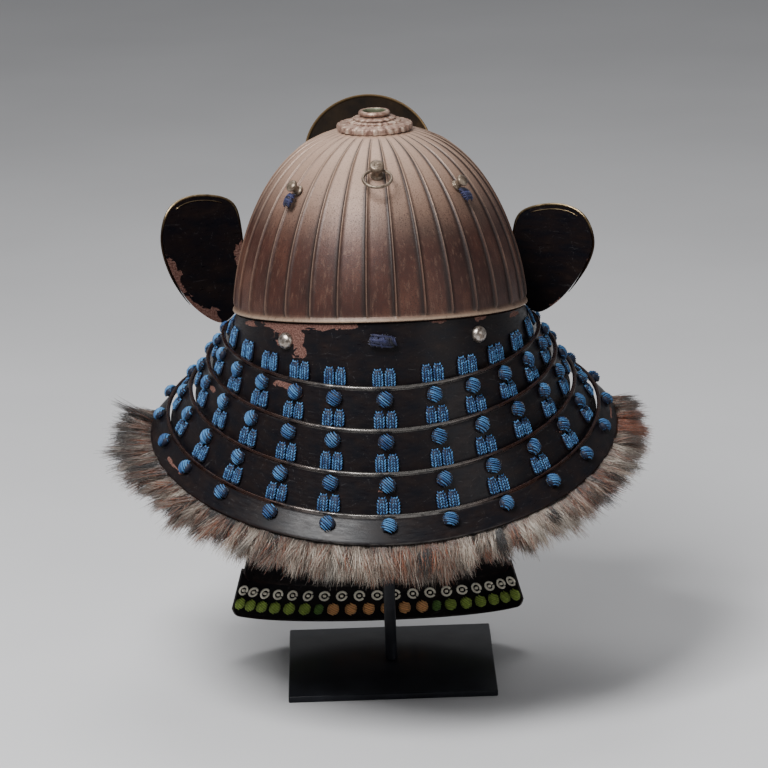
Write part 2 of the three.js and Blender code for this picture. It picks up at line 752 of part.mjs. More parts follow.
/** A row of lacing knots along the inner face of the lowest lame, joined by their thread. */
function guardKnots(up) {
  const near = GUARD.thickness + FIT_GAP + 0.1;
  const sections = [];
  for (let i = 1; i < GUARD.facets * 2; i += 1) {
    const turn = i / GUARD.facets - 1;
    const onKnot = i % 2 === 1;
    const half = onKnot ? GUARD.knotRadius : 1;
    const height = onKnot ? GUARD.knotHeight : 0.8;
    const at = onKnot
      ? (rise, out) => guardPoint(0, turn - 1 / GUARD.facets, rise, out)
        .add(guardPoint(0, turn + 1 / GUARD.facets, rise, out)).multiplyScalar(0.5)
      : (rise, out) => guardPoint(0, turn, rise, out);
    sections.push([
      at(up - half, near), at(up - half * 0.8, near + height),
      at(up + half * 0.8, near + height), at(up + half, near),
    ]);
  }
  return loft(sections);
}

function makeThroatGuard() {
  for (let lame = 0; lame < GUARD.lames; lame += 1) {
    addPiece(`throat_guard_${GUARD.lames - lame}`, guardLame(lame), BLACK_LACQUER);
  }
  addPiece('guard_knots_upper', guardKnots(GUARD.upperRow), CREAM_CORD);
  addPiece('guard_knots_lower', guardKnots(GUARD.lowerRow), GREEN_CORD);
}

// ---------------------------------------------------------------- stand

/** A thin dish that carries the bowl from inside, close under its wall. */
function bowlCradle() {
  const inside = -BOWL.wall - 0.7;
  const level = (rise, offset) => {
    const points = [];
    for (let angle = 0; angle < 360; angle += 22.5) points.push(bowlPoint(rise, angle, offset));
    return points;
  };
  return loft([level(0.835, inside - 3), level(0.78, inside - 3), level(0.78, inside), level(0.86, inside)]);
}

function makeStand() {
  const base = new THREE.BoxGeometry(STAND.width, STAND.depth, STAND.thickness);
  addPiece('stand_base', weld(base.translate(0, 0, STAND.thickness / 2)), BLACK_STEEL);

  const foot = STAND.thickness + FIT_GAP;
  const height = bowlPoint(0.85, 180).z - foot;
  const post = new THREE.CylinderGeometry(STAND.postRadius, STAND.postRadius, height, 16);
  post.rotateX(90 * DEG).translate(0, 0, foot + height / 2);
  const reach = guardPoint(GUARD.lames - 1, 0, 0, GUARD.thickness).y + FIT_GAP + 0.8;
  const arm = new THREE.BoxGeometry(10, -reach, 4).translate(0, reach / 2, STAND.armZ);
  const pad = new THREE.BoxGeometry(11, 3, 16).translate(0, reach + 1.5, STAND.armZ);
  addPiece('stand_post', join([post, bowlCradle(), arm, pad]), BLACK_STEEL);
}

// ---------------------------------------------------------------- assembly

makeBowl();
makeCrown();
makeBowlPosts();
makeRearRing();
makeBrowBand();
makeVisor();
makeCrest();
makeLames();
[['turnback_rim_right', 1], ['turnback_rim_left', -1]].forEach(([name, side]) => makeTurnbackRim(name, side));
makeRivets();
makeCentreCord();
makeLacing();
makeFringe();
makeThroatGuard();
makeStand();

export default helmet;
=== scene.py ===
"""A samurai helmet with its throat guard on a display stand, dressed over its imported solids.

Lengths in the tables are millimetres. Angles run round the helmet from its back (0)
through +X (90) to its front (180).
"""

import math

import bmesh
import bpy
import numpy as np
from mathutils import Matrix, Vector
from mathutils.geometry import delaunay_2d_cdt


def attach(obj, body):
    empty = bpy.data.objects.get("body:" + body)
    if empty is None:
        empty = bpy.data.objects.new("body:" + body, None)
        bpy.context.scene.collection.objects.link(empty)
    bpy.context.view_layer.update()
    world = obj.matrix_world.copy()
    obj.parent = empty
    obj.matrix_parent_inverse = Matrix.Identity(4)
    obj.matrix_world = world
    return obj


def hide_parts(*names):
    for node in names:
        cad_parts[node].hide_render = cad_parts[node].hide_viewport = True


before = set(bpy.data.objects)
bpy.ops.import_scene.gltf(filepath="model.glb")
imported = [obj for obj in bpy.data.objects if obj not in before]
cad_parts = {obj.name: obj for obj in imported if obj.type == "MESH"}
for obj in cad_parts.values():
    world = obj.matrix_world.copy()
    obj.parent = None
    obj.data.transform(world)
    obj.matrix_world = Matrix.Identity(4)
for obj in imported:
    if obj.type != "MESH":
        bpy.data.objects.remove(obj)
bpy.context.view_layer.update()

MM = 0.001
ROOT = "helmet_on_stand"
SWINGING = "cord_ring"
SIDES = (("right", 1), ("left", -1))
chance = np.random.default_rng(1615)

# ------------------------------------------------------------------ sizes

# A ring is (half width, back, front, z at the back, z at the side, z at the front).
RIM = (109.5, 123.0, 118.0, 308.0, 289.0, 273.0)
EDGES = [
    (121.6, 136.0, 128.0, 261.7, 271.9, 267.0),
    (134.0, 149.0, 139.0, 233.4, 253.8, 255.0),
    (148.0, 161.0, 150.0, 204.1, 231.7, 241.0),
    (166.0, 175.0, 160.0, 176.3, 212.7, 227.0),
    (178.6, 186.0, 170.0, 158.3, 196.9, 212.0),
]
LAST = len(EDGES) - 1

BOWL = {"top": 427.0, "rise_curve": 1.7, "round_curve": 2.5, "wall": 2.2, "bore": 9.8, "plates": 32,
        "ridge": 2.2}
POST = {"share": 0.71, "rear": 47.5, "front": 132.5, "stand_off": 1.65}
RING = {"seat": 0.82, "eye": 6.4, "gap": 0.35, "radius": 10.4, "wire": 1.15, "droop": 25.0}
BAND = {"inset": 3.0, "wall": 1.8, "up": 6.0, "down": 14.4, "corner": 0.6}
VISOR = {"half_angle": 42.0, "root": 5.0, "reach": 29.0, "drop": 0.45, "wall": 2.0, "stations": 61}
HOLDER = {"at": (0, -125.5, 275), "size": (14, 6, 24)}
STEM = {"at": (0, -125.5, 305), "size": (8, 1.7, 66)}
CREST = {"radius": 51.0, "lean": 35.0, "x": 4.0, "y": -152.0, "z": 374.0, "wall": 1.7}
LAME = {"wall": 1.8, "bead": 2.2, "step": 7.7, "overlap": 8.0, "ends": 125.4}
TURNBACK = {"fold_x": 78.0, "fold_y": -82.0, "sweep": 0.5, "outer_x": 164.0, "wall": 2.0, "bulge": 5.0,
            "lift": {1: 4.0, -1: -12.0}, "lift_from": 280.0, "lift_span": 80.0}
BRASS_EDGE = {"wire": 1.05, "outside": 0.9, "inside": 2.6, "line": 0.3, "line_above": 355.5}
RIVET = {"column": 2.5, "down": 12.8, "gap": 0.3}
REAR_CORD = {"from": 5.8, "to": 14.4, "turns": 6, "out": 3.2, "lean": 0.25}
CENTRE_CORD = {"half_width": 9.0, "down": 12.4, "turns": 13, "lean": 0.3}

COLUMNS_EACH_SIDE = 8
FACET = 7.6
COLUMN_SPREAD = 2.8
STRAP = {"width": 8.5, "centre": 4.5, "height": 2.9, "pitch": 1.95}
STITCHES = {"lines": (-3.2, -1.08, 1.08, 3.2), "slants": (0.62, -0.62, 0.62, -0.62),
            "drops": (0.0, 0.45, 0.45, 0.0), "size": (2.5, 1.06, 1.4)}
KNOT = {"width": 13.0, "height": 10.8, "tall": 6.0, "from_top": 3.5, "turns": 7, "lean": 0.6}

GUARD = {"x": 9.0, "half_width": 112.0, "taper": 0.28, "y": -66.0, "sweep": 36.0, "spread": 66.0,
         "bottom": 13.0, "end_rise": 21.5, "height": 38.0, "step": 30.0, "lames": 3, "stagger": 2.6,
         "wall": 1.8, "trim": 5.0, "trim_from": 0.93}
UPPER_ROW = {"knots": 19, "up": 21.5}
LOWER_KNOT = {"up": 10.5, "width": 10.4, "height": 9.6, "tall": 2.9, "turns": 6}
STAND = {"width": 159.0, "depth": 155.0, "thickness": 5.0, "post": 4.5, "arm_z": 98.0,
         "arm_width": 10, "arm_height": 4, "pad": (11, 3, 16)}


# ------------------------------------------------------------------ curves of the helmet

def unit(vectors):
    """Vectors made one long."""
    return vectors / np.linalg.norm(vectors, axis=-1, keepdims=True)


def bell(values, middle, spread):
    """A smooth hump, 1 at its middle."""
    return np.exp(-((values - middle) / spread) ** 2)


def ring_points(base, degrees):
    """Points of a ring at angles in degrees."""
    half, back, front, z_back, z_side, z_front = base
    turn = np.radians(degrees)
    cosine = np.cos(turn)
    tilt = (z_back - z_front) / 2
    bow = (z_back + z_front) / 2 - z_side
    depth = np.where(cosine > 0, back, front) * cosine
    return np.stack([half * np.sin(turn), depth, z_side + tilt * cosine + bow * cosine ** 2], -1)


def grow(base, by, drop=0.0):
    """A ring made wider and lower."""
    return tuple(v + by for v in base[:3]) + tuple(v - drop for v in base[3:])


def bowl_base(rise, degrees):
    """The bowl's smooth surface: rise 0 is its rim and 1 its crown."""
    rim = ring_points(RIM, degrees)
    share = (1 - rise ** BOWL["rise_curve"]) ** (1 / BOWL["round_curve"])
    height = rim[..., 2] + (BOWL["top"] - rim[..., 2]) * rise
    return np.stack([rim[..., 0] * share, rim[..., 1] * share, height], -1)


def bowl_points(rise, degrees, offset=0.0):
    """Points of the bowl moved out along its normal."""
    rise, degrees, offset = np.broadcast_arrays(*(np.asarray(v, float) for v in (rise, degrees, offset)))
    up = bowl_base(np.minimum(rise + 0.0005, 1), degrees) - bowl_base(np.maximum(rise - 0.004, 0), degrees)
    around = bowl_base(rise, degrees + 0.5) - bowl_base(rise, degrees - 0.5)
    return bowl_base(rise, degrees) + unit(np.cross(up, around)) * offset[..., None]


def rise_at_share(share):
    """The rise where the bowl has a share of its rim's radius."""
    return (1 - share ** BOWL["round_curve"]) ** (1 / BOWL["rise_curve"])


class Seat:
    """A place on a surface: an origin, and unit vectors across, down and out of it."""

    def __init__(self, origin, across, down, length=0.0):
        self.origin = origin
        self.down = unit(down)
        self.across = unit(across - self.down * (across @ self.down))
        self.out = np.cross(self.down, self.across)
        self.length = length

    def at(self, across, down, out):
        """A point of the place."""
        return self.origin + self.across * across + self.down * down + self.out * out


def bowl_seat(rise, angle):
    """A place on the bowl, with down towards the rim."""
    down = bowl_base(rise - 0.01, angle) - bowl_base(rise + 0.01, angle)
    across = bowl_base(rise, angle - 1) - bowl_base(rise, angle + 1)
    seat = Seat(bowl_base(rise, angle), across, down)
    if seat.out @ (seat.origin * (1, 1, 0)) < 0:
        seat.out = -seat.out
    return seat


def lame_seat(lame, angle):
    """The place at an angle of a lame's top edge, as long as the lame's uncovered height."""
    top = grow(RIM, -0.5, 1.6) if lame == 0 else grow(EDGES[lame - 1], -LAME["bead"])
    level = EDGES[LAST] if lame == LAST else grow(EDGES[lame], -LAME["step"])
    down = ring_points(level, angle) - ring_points(top, angle)
    across = ring_points(top, angle - 1) - ring_points(top, angle + 1)
    return Seat(ring_points(top, angle), across, down, np.linalg.norm(down))


def column_angle(lame, column):
    """The angle of a lacing column. The upper lames' columns stand further from the middle."""
    at = column * 2
    near = min(abs(at) / 2, max(0.0, 1 - (abs(at) - 2) / 6))
    return at * FACET + math.copysign(1, at) * near * COLUMN_SPREAD * (1 - lame / LAST)


# ------------------------------------------------------------------ meshes

def new_object(name, data):
    """An object of the scene, its name spelt with dashes."""
    made = bpy.data.objects.new(name.replace("_", "-").replace(" ", "-"), data)
    bpy.context.scene.collection.objects.link(made)
    return made


def store(mesh, name, values, kind="FLOAT"):
    """Keeps a value for every point of a mesh."""
    field = "vector" if kind == "FLOAT_VECTOR" else "value"
    mesh.attributes.new(name, kind, "POINT").data.foreach_set(field, np.asarray(values, np.float32).ravel())


def face_outwards(mesh):
    """Turns a closed mesh's faces outwards."""
    shell = bmesh.new()
    shell.from_mesh(mesh)
    bmesh.ops.remove_doubles(shell, verts=shell.verts, dist=1e-6)
    bmesh.ops.recalc_face_normals(shell, faces=shell.faces)
    if shell.calc_volume(signed=True) < 0:
        bmesh.ops.reverse_faces(shell, faces=shell.faces)
    shell.to_mesh(mesh)
    shell.free()


def mesh_object(name, points, faces, material, lay, marks, crease):
    """An object from points in millimetres, with its own lay and marks for its finish."""
    mesh = bpy.data.meshes.new(name)
    mesh.from_pydata((np.asarray(points) * MM).tolist(), [], faces)
    if lay is not None:
        store(mesh, "lay", lay, "FLOAT_VECTOR")
    for mark, values in (marks or {}).items():
        store(mesh, mark, values)
    face_outwards(mesh)
    mesh.shade_smooth()
    mesh.set_sharp_from_angle(angle=math.radians(crease))
    mesh.materials.append(material)
    return new_object(name, mesh)


def ring_faces(count, size, closed=False, first=0):
    """Faces through rings of points, numbered from the first; a closed loft has no end caps."""
    here = np.arange(count if closed else count - 1)[:, None]
    there = (here + 1) % count
    k = np.arange(size)[None, :]
    j = (k + 1) % size
    faces = np.stack([here * size + k, here * size + j, there * size + j, there * size + k], -1) + first
    faces = faces.reshape(-1, 4).tolist()
    if not closed:
        last = first + (count - 1) * size
        faces += [list(range(first, first + size)), list(range(last, last + size))[::-1]]
    return faces


def loft(name, sections, material, closed=False, lay=None, marks=None, crease=40):
    """A closed solid through rings of points; a closed loft joins its last ring to its first."""
    points = np.asarray(sections, float)
    faces = ring_faces(*points.shape[:2], closed)
    return mesh_object(name, points.reshape(-1, 3), faces, material, lay, marks, crease)


def many_lofts(name, solids, material, tint):
    """One mesh of several closed solids."""
    points, faces = [], []
    for sections in solids:
        rings = np.asarray(sections, float)
        faces += ring_faces(*rings.shape[:2], first=len(points))
        points += list(rings.reshape(-1, 3))
    return mesh_object(name, points, faces, material, None, {"tint": np.full(len(points), tint)}, 60)


def turned(profile, segments=40):
    """Rings of points turned about +Z from (radius, height) pairs, which may start on the axis."""
    angles = np.linspace(0, 2 * math.pi, segments, endpoint=False)
    profile = [(max(r, 0.004), z) for r, z in profile]
    return np.array([[(r * math.cos(a), r * math.sin(a), z) for r, z in profile] for a in angles])


def rounded(profile, steps=3, ratio=0.3):
    """A profile with its inner corners rounded."""
    profile = [np.array(p, float) for p in profile]
    result = [profile[0]]
    for before, corner, after in zip(profile, profile[1:], profile[2:]):
        start = corner + (before - corner) * ratio
        end = corner + (after - corner) * ratio
        for step in range(steps + 1):
            t = step / steps
            result.append(start * (1 - t) ** 2 + corner * 2 * t * (1 - t) + end * t ** 2)
    return result + [profile[-1]]


def seated(points, seat, down=0.0, out=0.0):
    """Points modelled across +X, up +Y and out along +Z, set on a place."""
    shape = np.asarray(points, float)
    moved = shape[..., :1] * seat.across - shape[..., 1:2] * seat.down + shape[..., 2:] * seat.out
    return moved + seat.at(0.0, down, out)


def tube(path, radius, sides=10, closed=False):
    """Rings of points round a path."""
    path = np.asarray(path, float)
    if closed:
        along = unit(np.roll(path, -1, 0) - np.roll(path, 1, 0))
    else:
        along = unit(np.gradient(path, axis=0))
    side = np.cross(along[0], (0.0, 0.0, 1.0))
    if np.linalg.norm(side) < 1e-3:
        side = np.cross(along[0], (1.0, 0.0, 0.0))
    side = unit(side)
    rings = []
    for centre, direction in zip(path, along):
        side = unit(side - direction * (side @ direction))
        third = np.cross(direction, side)
        angles = np.linspace(0, 2 * math.pi, sides, endpoint=False)
        rings.append([centre + radius * (math.cos(a) * side + math.sin(a) * third) for a in angles])
    return np.array(rings)


def box_object(name, size, centre, material, bevel):
    """A box with rounded edges."""
    mesh = bpy.data.meshes.new(name)
    solid = bmesh.new()
    bmesh.ops.create_cube(solid, size=1.0)
    for vertex in solid.verts:
        vertex.co = Vector([(c * s + m) * MM for c, s, m in zip(vertex.co, size, centre)])
    bmesh.ops.bevel(solid, geom=solid.edges[:], offset=bevel * MM, segments=3, affect="EDGES", profile=0.5)
    solid.to_mesh(mesh)
    solid.free()
    for mark in ("flake", "wear"):
        mesh.attributes.new(mark, "FLOAT", "POINT")
    mesh.materials.append(material)
    mesh.shade_smooth()
    mesh.set_sharp_from_angle(angle=math.radians(50))
    return new_object(name, mesh)


def dress(made, finish_slot, *nodes, body=ROOT):
    """Gives a finished piece its body and hides the solids that it stands for; its finish slot is not used.
    """
    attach(made, body)
    if nodes:
        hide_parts(*nodes)
    return made


# ------------------------------------------------------------------ node trees

def feed(tree, socket, value):
    """Links a socket, or sets it."""
    if isinstance(value, bpy.types.NodeSocket):
        tree.links.new(value, socket)
    elif socket.type == "RGBA":
        socket.default_value = (*value, 1.0)
    else:
        socket.default_value = value


def add_node(tree, kind, output, inputs, **settings):
    """Adds a node and gives back one of its outputs."""
    made = tree.nodes.new(kind)
    for setting, value in settings.items():
        setattr(made, setting, value)
    for socket, value in (inputs or {}).items():
        feed(tree, made.inputs[socket], value)
    return made.outputs[output]


class Finish:
    """A material in the making."""

    def __init__(self, name, **sockets):
        self.material = bpy.data.materials.new(name)
        self.material.use_nodes = True
        self.tree = self.material.node_tree
        self.done(**sockets)

    def done(self, **sockets):
        """Feeds the surface and gives back the material."""
        surface = self.tree.nodes["Principled BSDF"]
        for socket, value in sockets.items():
            feed(self.tree, surface.inputs[socket.replace("_", " ")], value)
        return self.material

    def add(self, kind, output=0, inputs=None, **settings):
        """Adds a shader node."""
        return add_node(self.tree, "ShaderNode" + kind, output, inputs, **settings)

    def place(self, *scale):
        """The piece's own place in metres, stretched."""
        place = self.add("TexCoord", "Object")
        return self.add("Mapping", inputs={"Vector": place, "Scale": scale or (1.0, 1.0, 1.0)})

    def lay(self, *scale):
        """The piece's own lay in millimetres, stretched."""
        lay = self.add("Attribute", "Vector", attribute_name="lay")
        return self.add("Mapping", inputs={"Vector": lay, "Scale": scale or (1.0, 1.0, 1.0)})

    def mark(self, name):
        """One of the piece's own marks."""
        return self.add("Attribute", "Fac", attribute_name=name)

    def noise(self, where, scale, detail, rough=0.55, distort=0.0):
        """Cloudy noise from 0 to 1."""
        return self.add("TexNoise", "Fac", {"Vector": where, "Scale": scale, "Detail": detail,
                                            "Roughness": rough, "Distortion": distort})

    def sum(self, operation, a, b=0.0):
        """A sum of two values."""
        return self.add("Math", 0, {0: a, 1: b}, operation=operation)

    def times(self, a, b):
        """Two values multiplied."""
        return self.sum("MULTIPLY", a, b)

    def plus(self, a, b):
        """Two values added."""
        return self.sum("ADD", a, b)

    def minus(self, a, b):
        """One value less another."""
        return self.sum("SUBTRACT", a, b)

    def step(self, value, low, high):
        """A soft step from 0 to 1."""
        return self.add("MapRange", 0, {"Value": value, "From Min": low, "From Max": high},
                        interpolation_type="SMOOTHSTEP")

    def span(self, value, low, high, start=0.0, stop=1.0):
        """A value between start and stop stretched to lie between low and high."""
        return self.add("MapRange", 0, {"Value": value, "From Min": start, "From Max": stop,
                                        "To Min": low, "To Max": high})

    def ramp(self, value, *stops):
        """A colour from a value, by (place, colour) stops."""
        colour = self.add("ValToRGB", 0, {0: value})
        band = colour.node.color_ramp
        while len(band.elements) < len(stops):
            band.elements.new(0.5)
        for element, (at, shade) in zip(band.elements, stops):
            element.position = at
            element.color = (*shade, 1.0)
        return colour

    def mix(self, share, a, b, blend="MIX"):
        """One colour mixed into another."""
        made = self.add("Mix", 2, data_type="RGBA", blend_type=blend).node
        for socket, value in ((0, share), (6, a), (7, b)):
            feed(self.tree, made.inputs[socket], value)
        return made.outputs[2]

    def bump(self, height, strength, depth):
        """A bumpy surface from a height, depth in millimetres."""
        return self.add("Bump", 0, {"Height": height, "Strength": strength, "Distance": depth * MM})


class Tree:
    """A Geometry Nodes tree in the making."""

    def __init__(self, name, **inputs):
        self.group = bpy.data.node_groups.new(name, "GeometryNodeTree")
        for socket, kind in inputs.items():
            self.group.interface.new_socket(socket, in_out="INPUT", socket_type="NodeSocket" + kind)
        self.group.interface.new_socket("Result", in_out="OUTPUT", socket_type="NodeSocketGeometry")
        self.given = self.group.nodes.new("NodeGroupInput").outputs

    def add(self, kind, output=0, inputs=None, **settings):
        """Adds a node."""
        return add_node(self.group, kind, output, inputs, **settings)

    def mark(self, name, kind="FLOAT"):
        """One of the points' own marks."""
        return self.add("GeometryNodeInputNamedAttribute", "Attribute", {"Name": name}, data_type=kind)

    def times(self, a, b):
        """Two values multiplied."""
        return self.add("ShaderNodeMath", 0, {0: a, 1: b}, operation="MULTIPLY")

    def done(self, geometry):
        """Realizes the geometry, sets its finish and gives back the tree."""
        realized = self.add("GeometryNodeRealizeInstances", 0, {"Geometry": geometry})
        painted = self.add("GeometryNodeSetMaterial", 0, {"Geometry": realized,
                                                          "Material": self.given["Finish"]})
        self.group.links.new(painted, self.group.nodes.new("NodeGroupOutput").inputs["Result"])
        return self.group


def run_through(made, tree, **given):
    """Runs an object through a tree and keeps the plain mesh that comes out."""
    layer = made.modifiers.new("tree", "NODES")
    layer.node_group = tree
    for item in tree.interface.items_tree:
        if item.name in given:
            layer[item.identifier] = given[item.name]
    depsgraph = bpy.context.evaluated_depsgraph_get()
    plain = bpy.data.meshes.new_from_object(made.evaluated_get(depsgraph), depsgraph=depsgraph)
    made.modifiers.clear()
    made.data = plain
    return made


# ------------------------------------------------------------------ finishes

def russet_iron():
    """Brown patinated iron, rubbed pale along its rim, and paler towards its crown as a painted highlight,
    partly dust.
    """
    f = Finish("russet iron", Metallic=0.2, Specular_IOR_Level=0.5)
    clouds = f.noise(f.place(), 26.0, 5.0, 0.6)
    streaks = f.noise(f.place(1.0, 1.0, 0.12), 420.0, 4.0, 0.65)
    grain = f.noise(f.place(), 1100.0, 3.0)
    brown = f.ramp(clouds, (0.3, (0.02, 0.0045, 0.0025)), (0.52, (0.043, 0.0115, 0.0065)),
                   (0.72, (0.09, 0.034, 0.02)))
    high = f.add("SeparateXYZ", "Z", {0: f.place()})
    # Paler towards the crown: a painted highlight, partly dust. The pits fade under it.
    upper = f.times(f.step(high, 0.352, 0.425), 0.82)
    dusty = f.mix(f.times(f.step(streaks, 0.5, 0.74), 0.36), brown, (0.19, 0.11, 0.075))
    dusty = f.mix(upper, dusty, (0.43, 0.29, 0.215))
    pits = f.times(f.step(grain, 0.54, 0.66), f.minus(1.0, f.times(upper, 0.9)))
    pitted = f.mix(pits, dusty, (0.03, 0.011, 0.007))
    # Painted shade: the plates are darkened beside each standing ridge.
    ridge_shaded = f.mix(f.times(f.mark("painted_ridge_shade"), 0.95), pitted, (0.009, 0.003, 0.002))
    rubbed = f.times(f.mark("wear"), f.step(streaks, 0.15, 0.5))
    height = f.plus(grain, f.times(streaks, 0.6))
    return f.done(Base_Color=f.mix(rubbed, ridge_shaded, (0.34, 0.245, 0.175)),
                  Roughness=f.span(grain, 0.38, 0.62), Normal=f.bump(height, 0.5, 0.3))


def clouded_metal(name, metallic, scale, stops, rough, relief):
    """A metal in cloudy patches: a finish in the making, and its colour."""
    f = Finish(name, Metallic=metallic)
    clouds = f.noise(f.place(), scale, 4.0, 0.6)
    f.done(Roughness=f.span(clouds, *rough), Normal=f.bump(clouds, *relief))
    return f, f.ramp(clouds, *stops)


def crown_bronze():
    """Dull bronze in pale and dark patches, green inside the ring."""
    stops = ((0.3, (0.13, 0.065, 0.048)), (0.52, (0.29, 0.185, 0.14)), (0.72, (0.5, 0.39, 0.31)))
    f, colour = clouded_metal("crown bronze", 0.45, 260.0, stops, (0.35, 0.6), (0.4, 0.2))
    middle = f.add("VectorMath", "Value", {0: f.place(1.0, 1.0, 0.0)}, operation="LENGTH")
    inside = f.minus(1.0, f.step(middle, 8.6 * MM, 9.2 * MM))
    return f.done(Base_Color=f.mix(f.times(inside, 0.8), colour, (0.09, 0.12, 0.07)))


def worn_iron():
    """Pale, hand-worn iron of the posts."""
    stops = ((0.3, (0.08, 0.055, 0.038)), (0.6, (0.2, 0.155, 0.115)), (0.8, (0.36, 0.3, 0.23)))
    f, colour = clouded_metal("worn iron", 0.6, 320.0, stops, (0.25, 0.5), (0.3, 0.15))
    return f.done(Base_Color=colour)


def aged_brass():
    """Darkened brass, bright where the wear mark says, which on the turnback edging is a painted highlight
    near its top.
    """
    stops = ((0.3, (0.14, 0.095, 0.05)), (0.6, (0.34, 0.26, 0.15)), (0.8, (0.56, 0.47, 0.32)))
    f, colour = clouded_metal("aged brass", 0.9, 140.0, stops, (0.22, 0.48), (0.25, 0.1))
    return f.done(Base_Color=f.mix(f.mark("wear"), (0.022, 0.012, 0.007), colour))


def silvered_iron():
    """The rivets' worn silvered domes."""
    stops = ((0.3, (0.11, 0.075, 0.055)), (0.5, (0.34, 0.295, 0.255)), (0.72, (0.6, 0.56, 0.51)))
    f, colour = clouded_metal("silvered iron", 0.9, 380.0, stops, (0.2, 0.42), (0.3, 0.12))
    return f.done(Base_Color=colour)


def crest_bronze():
    """The crest's face, dark brown bronze darkened to near black as painted shade, brassy at its rim."""
    f = Finish("crest bronze", Specular_IOR_Level=0.04)
    clouds = f.noise(f.place(), 60.0, 5.0, 0.65)
    brushed = f.noise(f.place(1.0, 0.2, 0.2), 700.0, 3.0, 0.6)
    # Painted shade: the face is coloured near black for its back, which is turned from the light.
    colour = f.ramp(clouds, (0.3, (0.0035, 0.002, 0.0012)), (0.6, (0.011, 0.006, 0.0025)),
                    (0.8, (0.03, 0.017, 0.007)))
    return f.done(Base_Color=f.mix(f.mark("wear"), colour, (0.17, 0.11, 0.052)),
                  Metallic=f.times(f.mark("wear"), 0.8), Roughness=f.span(brushed, 0.4, 0.6),
                  Normal=f.bump(brushed, 0.2, 0.1))


def black_lacquer():
    """Black lacquer, scratched, and flaked to its undercoat where the flake mark says."""
    f = Finish("black lacquer", Specular_IOR_Level=0.15, Coat_Weight=0.04, Coat_Roughness=0.18)
    broad = f.noise(f.lay(0.05, 0.09, 0.05), 1.0, 4.0, 0.6)
    ragged = f.noise(f.lay(0.13, 0.17, 0.15), 1.0, 2.0, 0.5, 0.4)
    scratches = f.noise(f.lay(0.09, 0.5, 0.3), 1.0, 4.0, 0.7)
    specks = f.noise(f.lay(0.9, 0.9, 0.9), 1.0, 2.0, 0.5)
    chips = f.add("TexVoronoi", "Color", {"Vector": f.lay(0.13, 0.2, 0.17), "Scale": 1.0})
    uneven = f.plus(f.times(f.minus(ragged, 0.5), 0.35), f.times(f.minus(chips, 0.5), 0.42))
    bare = f.step(f.plus(f.mark("flake"), uneven), 0.49, 0.51)
    undercoat = f.ramp(specks, (0.32, (0.055, 0.022, 0.017)), (0.52, (0.12, 0.058, 0.046)),
                       (0.74, (0.2, 0.12, 0.1)))
    black = f.ramp(broad, (0.35, (0.004, 0.004, 0.006)), (0.62, (0.009, 0.006, 0.006)),
                   (0.8, (0.022, 0.014, 0.012)))
    dusty = f.mix(f.times(f.step(specks, 0.68, 0.78), 0.5), black, (0.09, 0.075, 0.065))
    cells = f.add("TexVoronoi", "Distance", {"Vector": f.lay(0.06, 0.075, 0.06), "Scale": 1.0},
                  feature="DISTANCE_TO_EDGE")
    scored = f.times(f.minus(1.0, f.step(cells, 0.003, 0.012)), f.step(scratches, 0.5, 0.62))
    dusty = f.mix(f.times(scored, 0.22), dusty, (0.14, 0.135, 0.135))
    worn = f.times(f.mark("wear"), f.step(ragged, 0.28, 0.6))
    # Worn bead metal is silvery in the middle of the back, a painted highlight, and brown towards the ends.
    beside = f.sum("ABSOLUTE", f.add("SeparateXYZ", "X", {0: f.lay()}))
    metal = f.mix(f.step(beside, 30.0, 110.0), (0.15, 0.14, 0.13), (0.042, 0.02, 0.015))
    edged = f.mix(worn, dusty, metal)
    rubbed = f.minus(f.span(scratches, 0.27, 0.52, 0.35, 0.75), f.times(worn, 0.14))
    height = f.minus(f.times(scratches, 0.08), bare)
    return f.done(Base_Color=f.mix(bare, edged, undercoat), Metallic=f.times(worn, 0.85),
                  Roughness=f.sum("MAXIMUM", rubbed, f.times(bare, 0.8)), Normal=f.bump(height, 0.6, 0.3))


def cord_finish(name, rough):
    """A silk cord in the making, and its fine fibres."""
    f = Finish(name, Sheen_Weight=0.12, Sheen_Roughness=0.4, Specular_IOR_Level=0.35, Roughness=rough)
    fibres = f.noise(f.place(), 2600.0, 2.0, 0.6)
    f.done(Normal=f.bump(fibres, 0.5, 0.2))
    return f, fibres


def silk(name, dark, middle, pale):
    """Silk cord whose strands carry a mark of their tone, set low on knot balls and strap cores as painted
    shade.
    """
    f, fibres = cord_finish(name, 0.62)
    dye = f.noise(f.place(), 130.0, 3.0, 0.6)
    share = f.plus(f.times(f.mark("tint"), 0.7), f.times(dye, 0.35))
    colour = f.ramp(share, (0.26, dark), (0.5, middle), (0.9, pale))
    return f.done(Base_Color=f.mix(f.times(fibres, 0.35), colour, dark))


def dyed_silk():
    """Silk cord of the throat guard, each knot with its own dye mark."""
    f, fibres = cord_finish("dyed silk", 0.7)
    colour = f.ramp(f.mark("dye"), (0.0, (1.0, 0.94, 0.78)), (0.2, (0.38, 0.55, 0.09)),
                    (0.5, (1.0, 0.5, 0.2)), (0.8, (0.12, 0.27, 0.05)))
    colour.node.color_ramp.interpolation = "CONSTANT"
    shade = f.ramp(f.mark("tint"), (0.0, (0.4, 0.4, 0.4)), (1.0, (1.0, 1.0, 1.0)))
    tinted = f.mix(1.0, colour, shade, "MULTIPLY")
    return f.done(Base_Color=f.mix(f.times(fibres, 0.3), tinted, (0.05, 0.05, 0.03)))


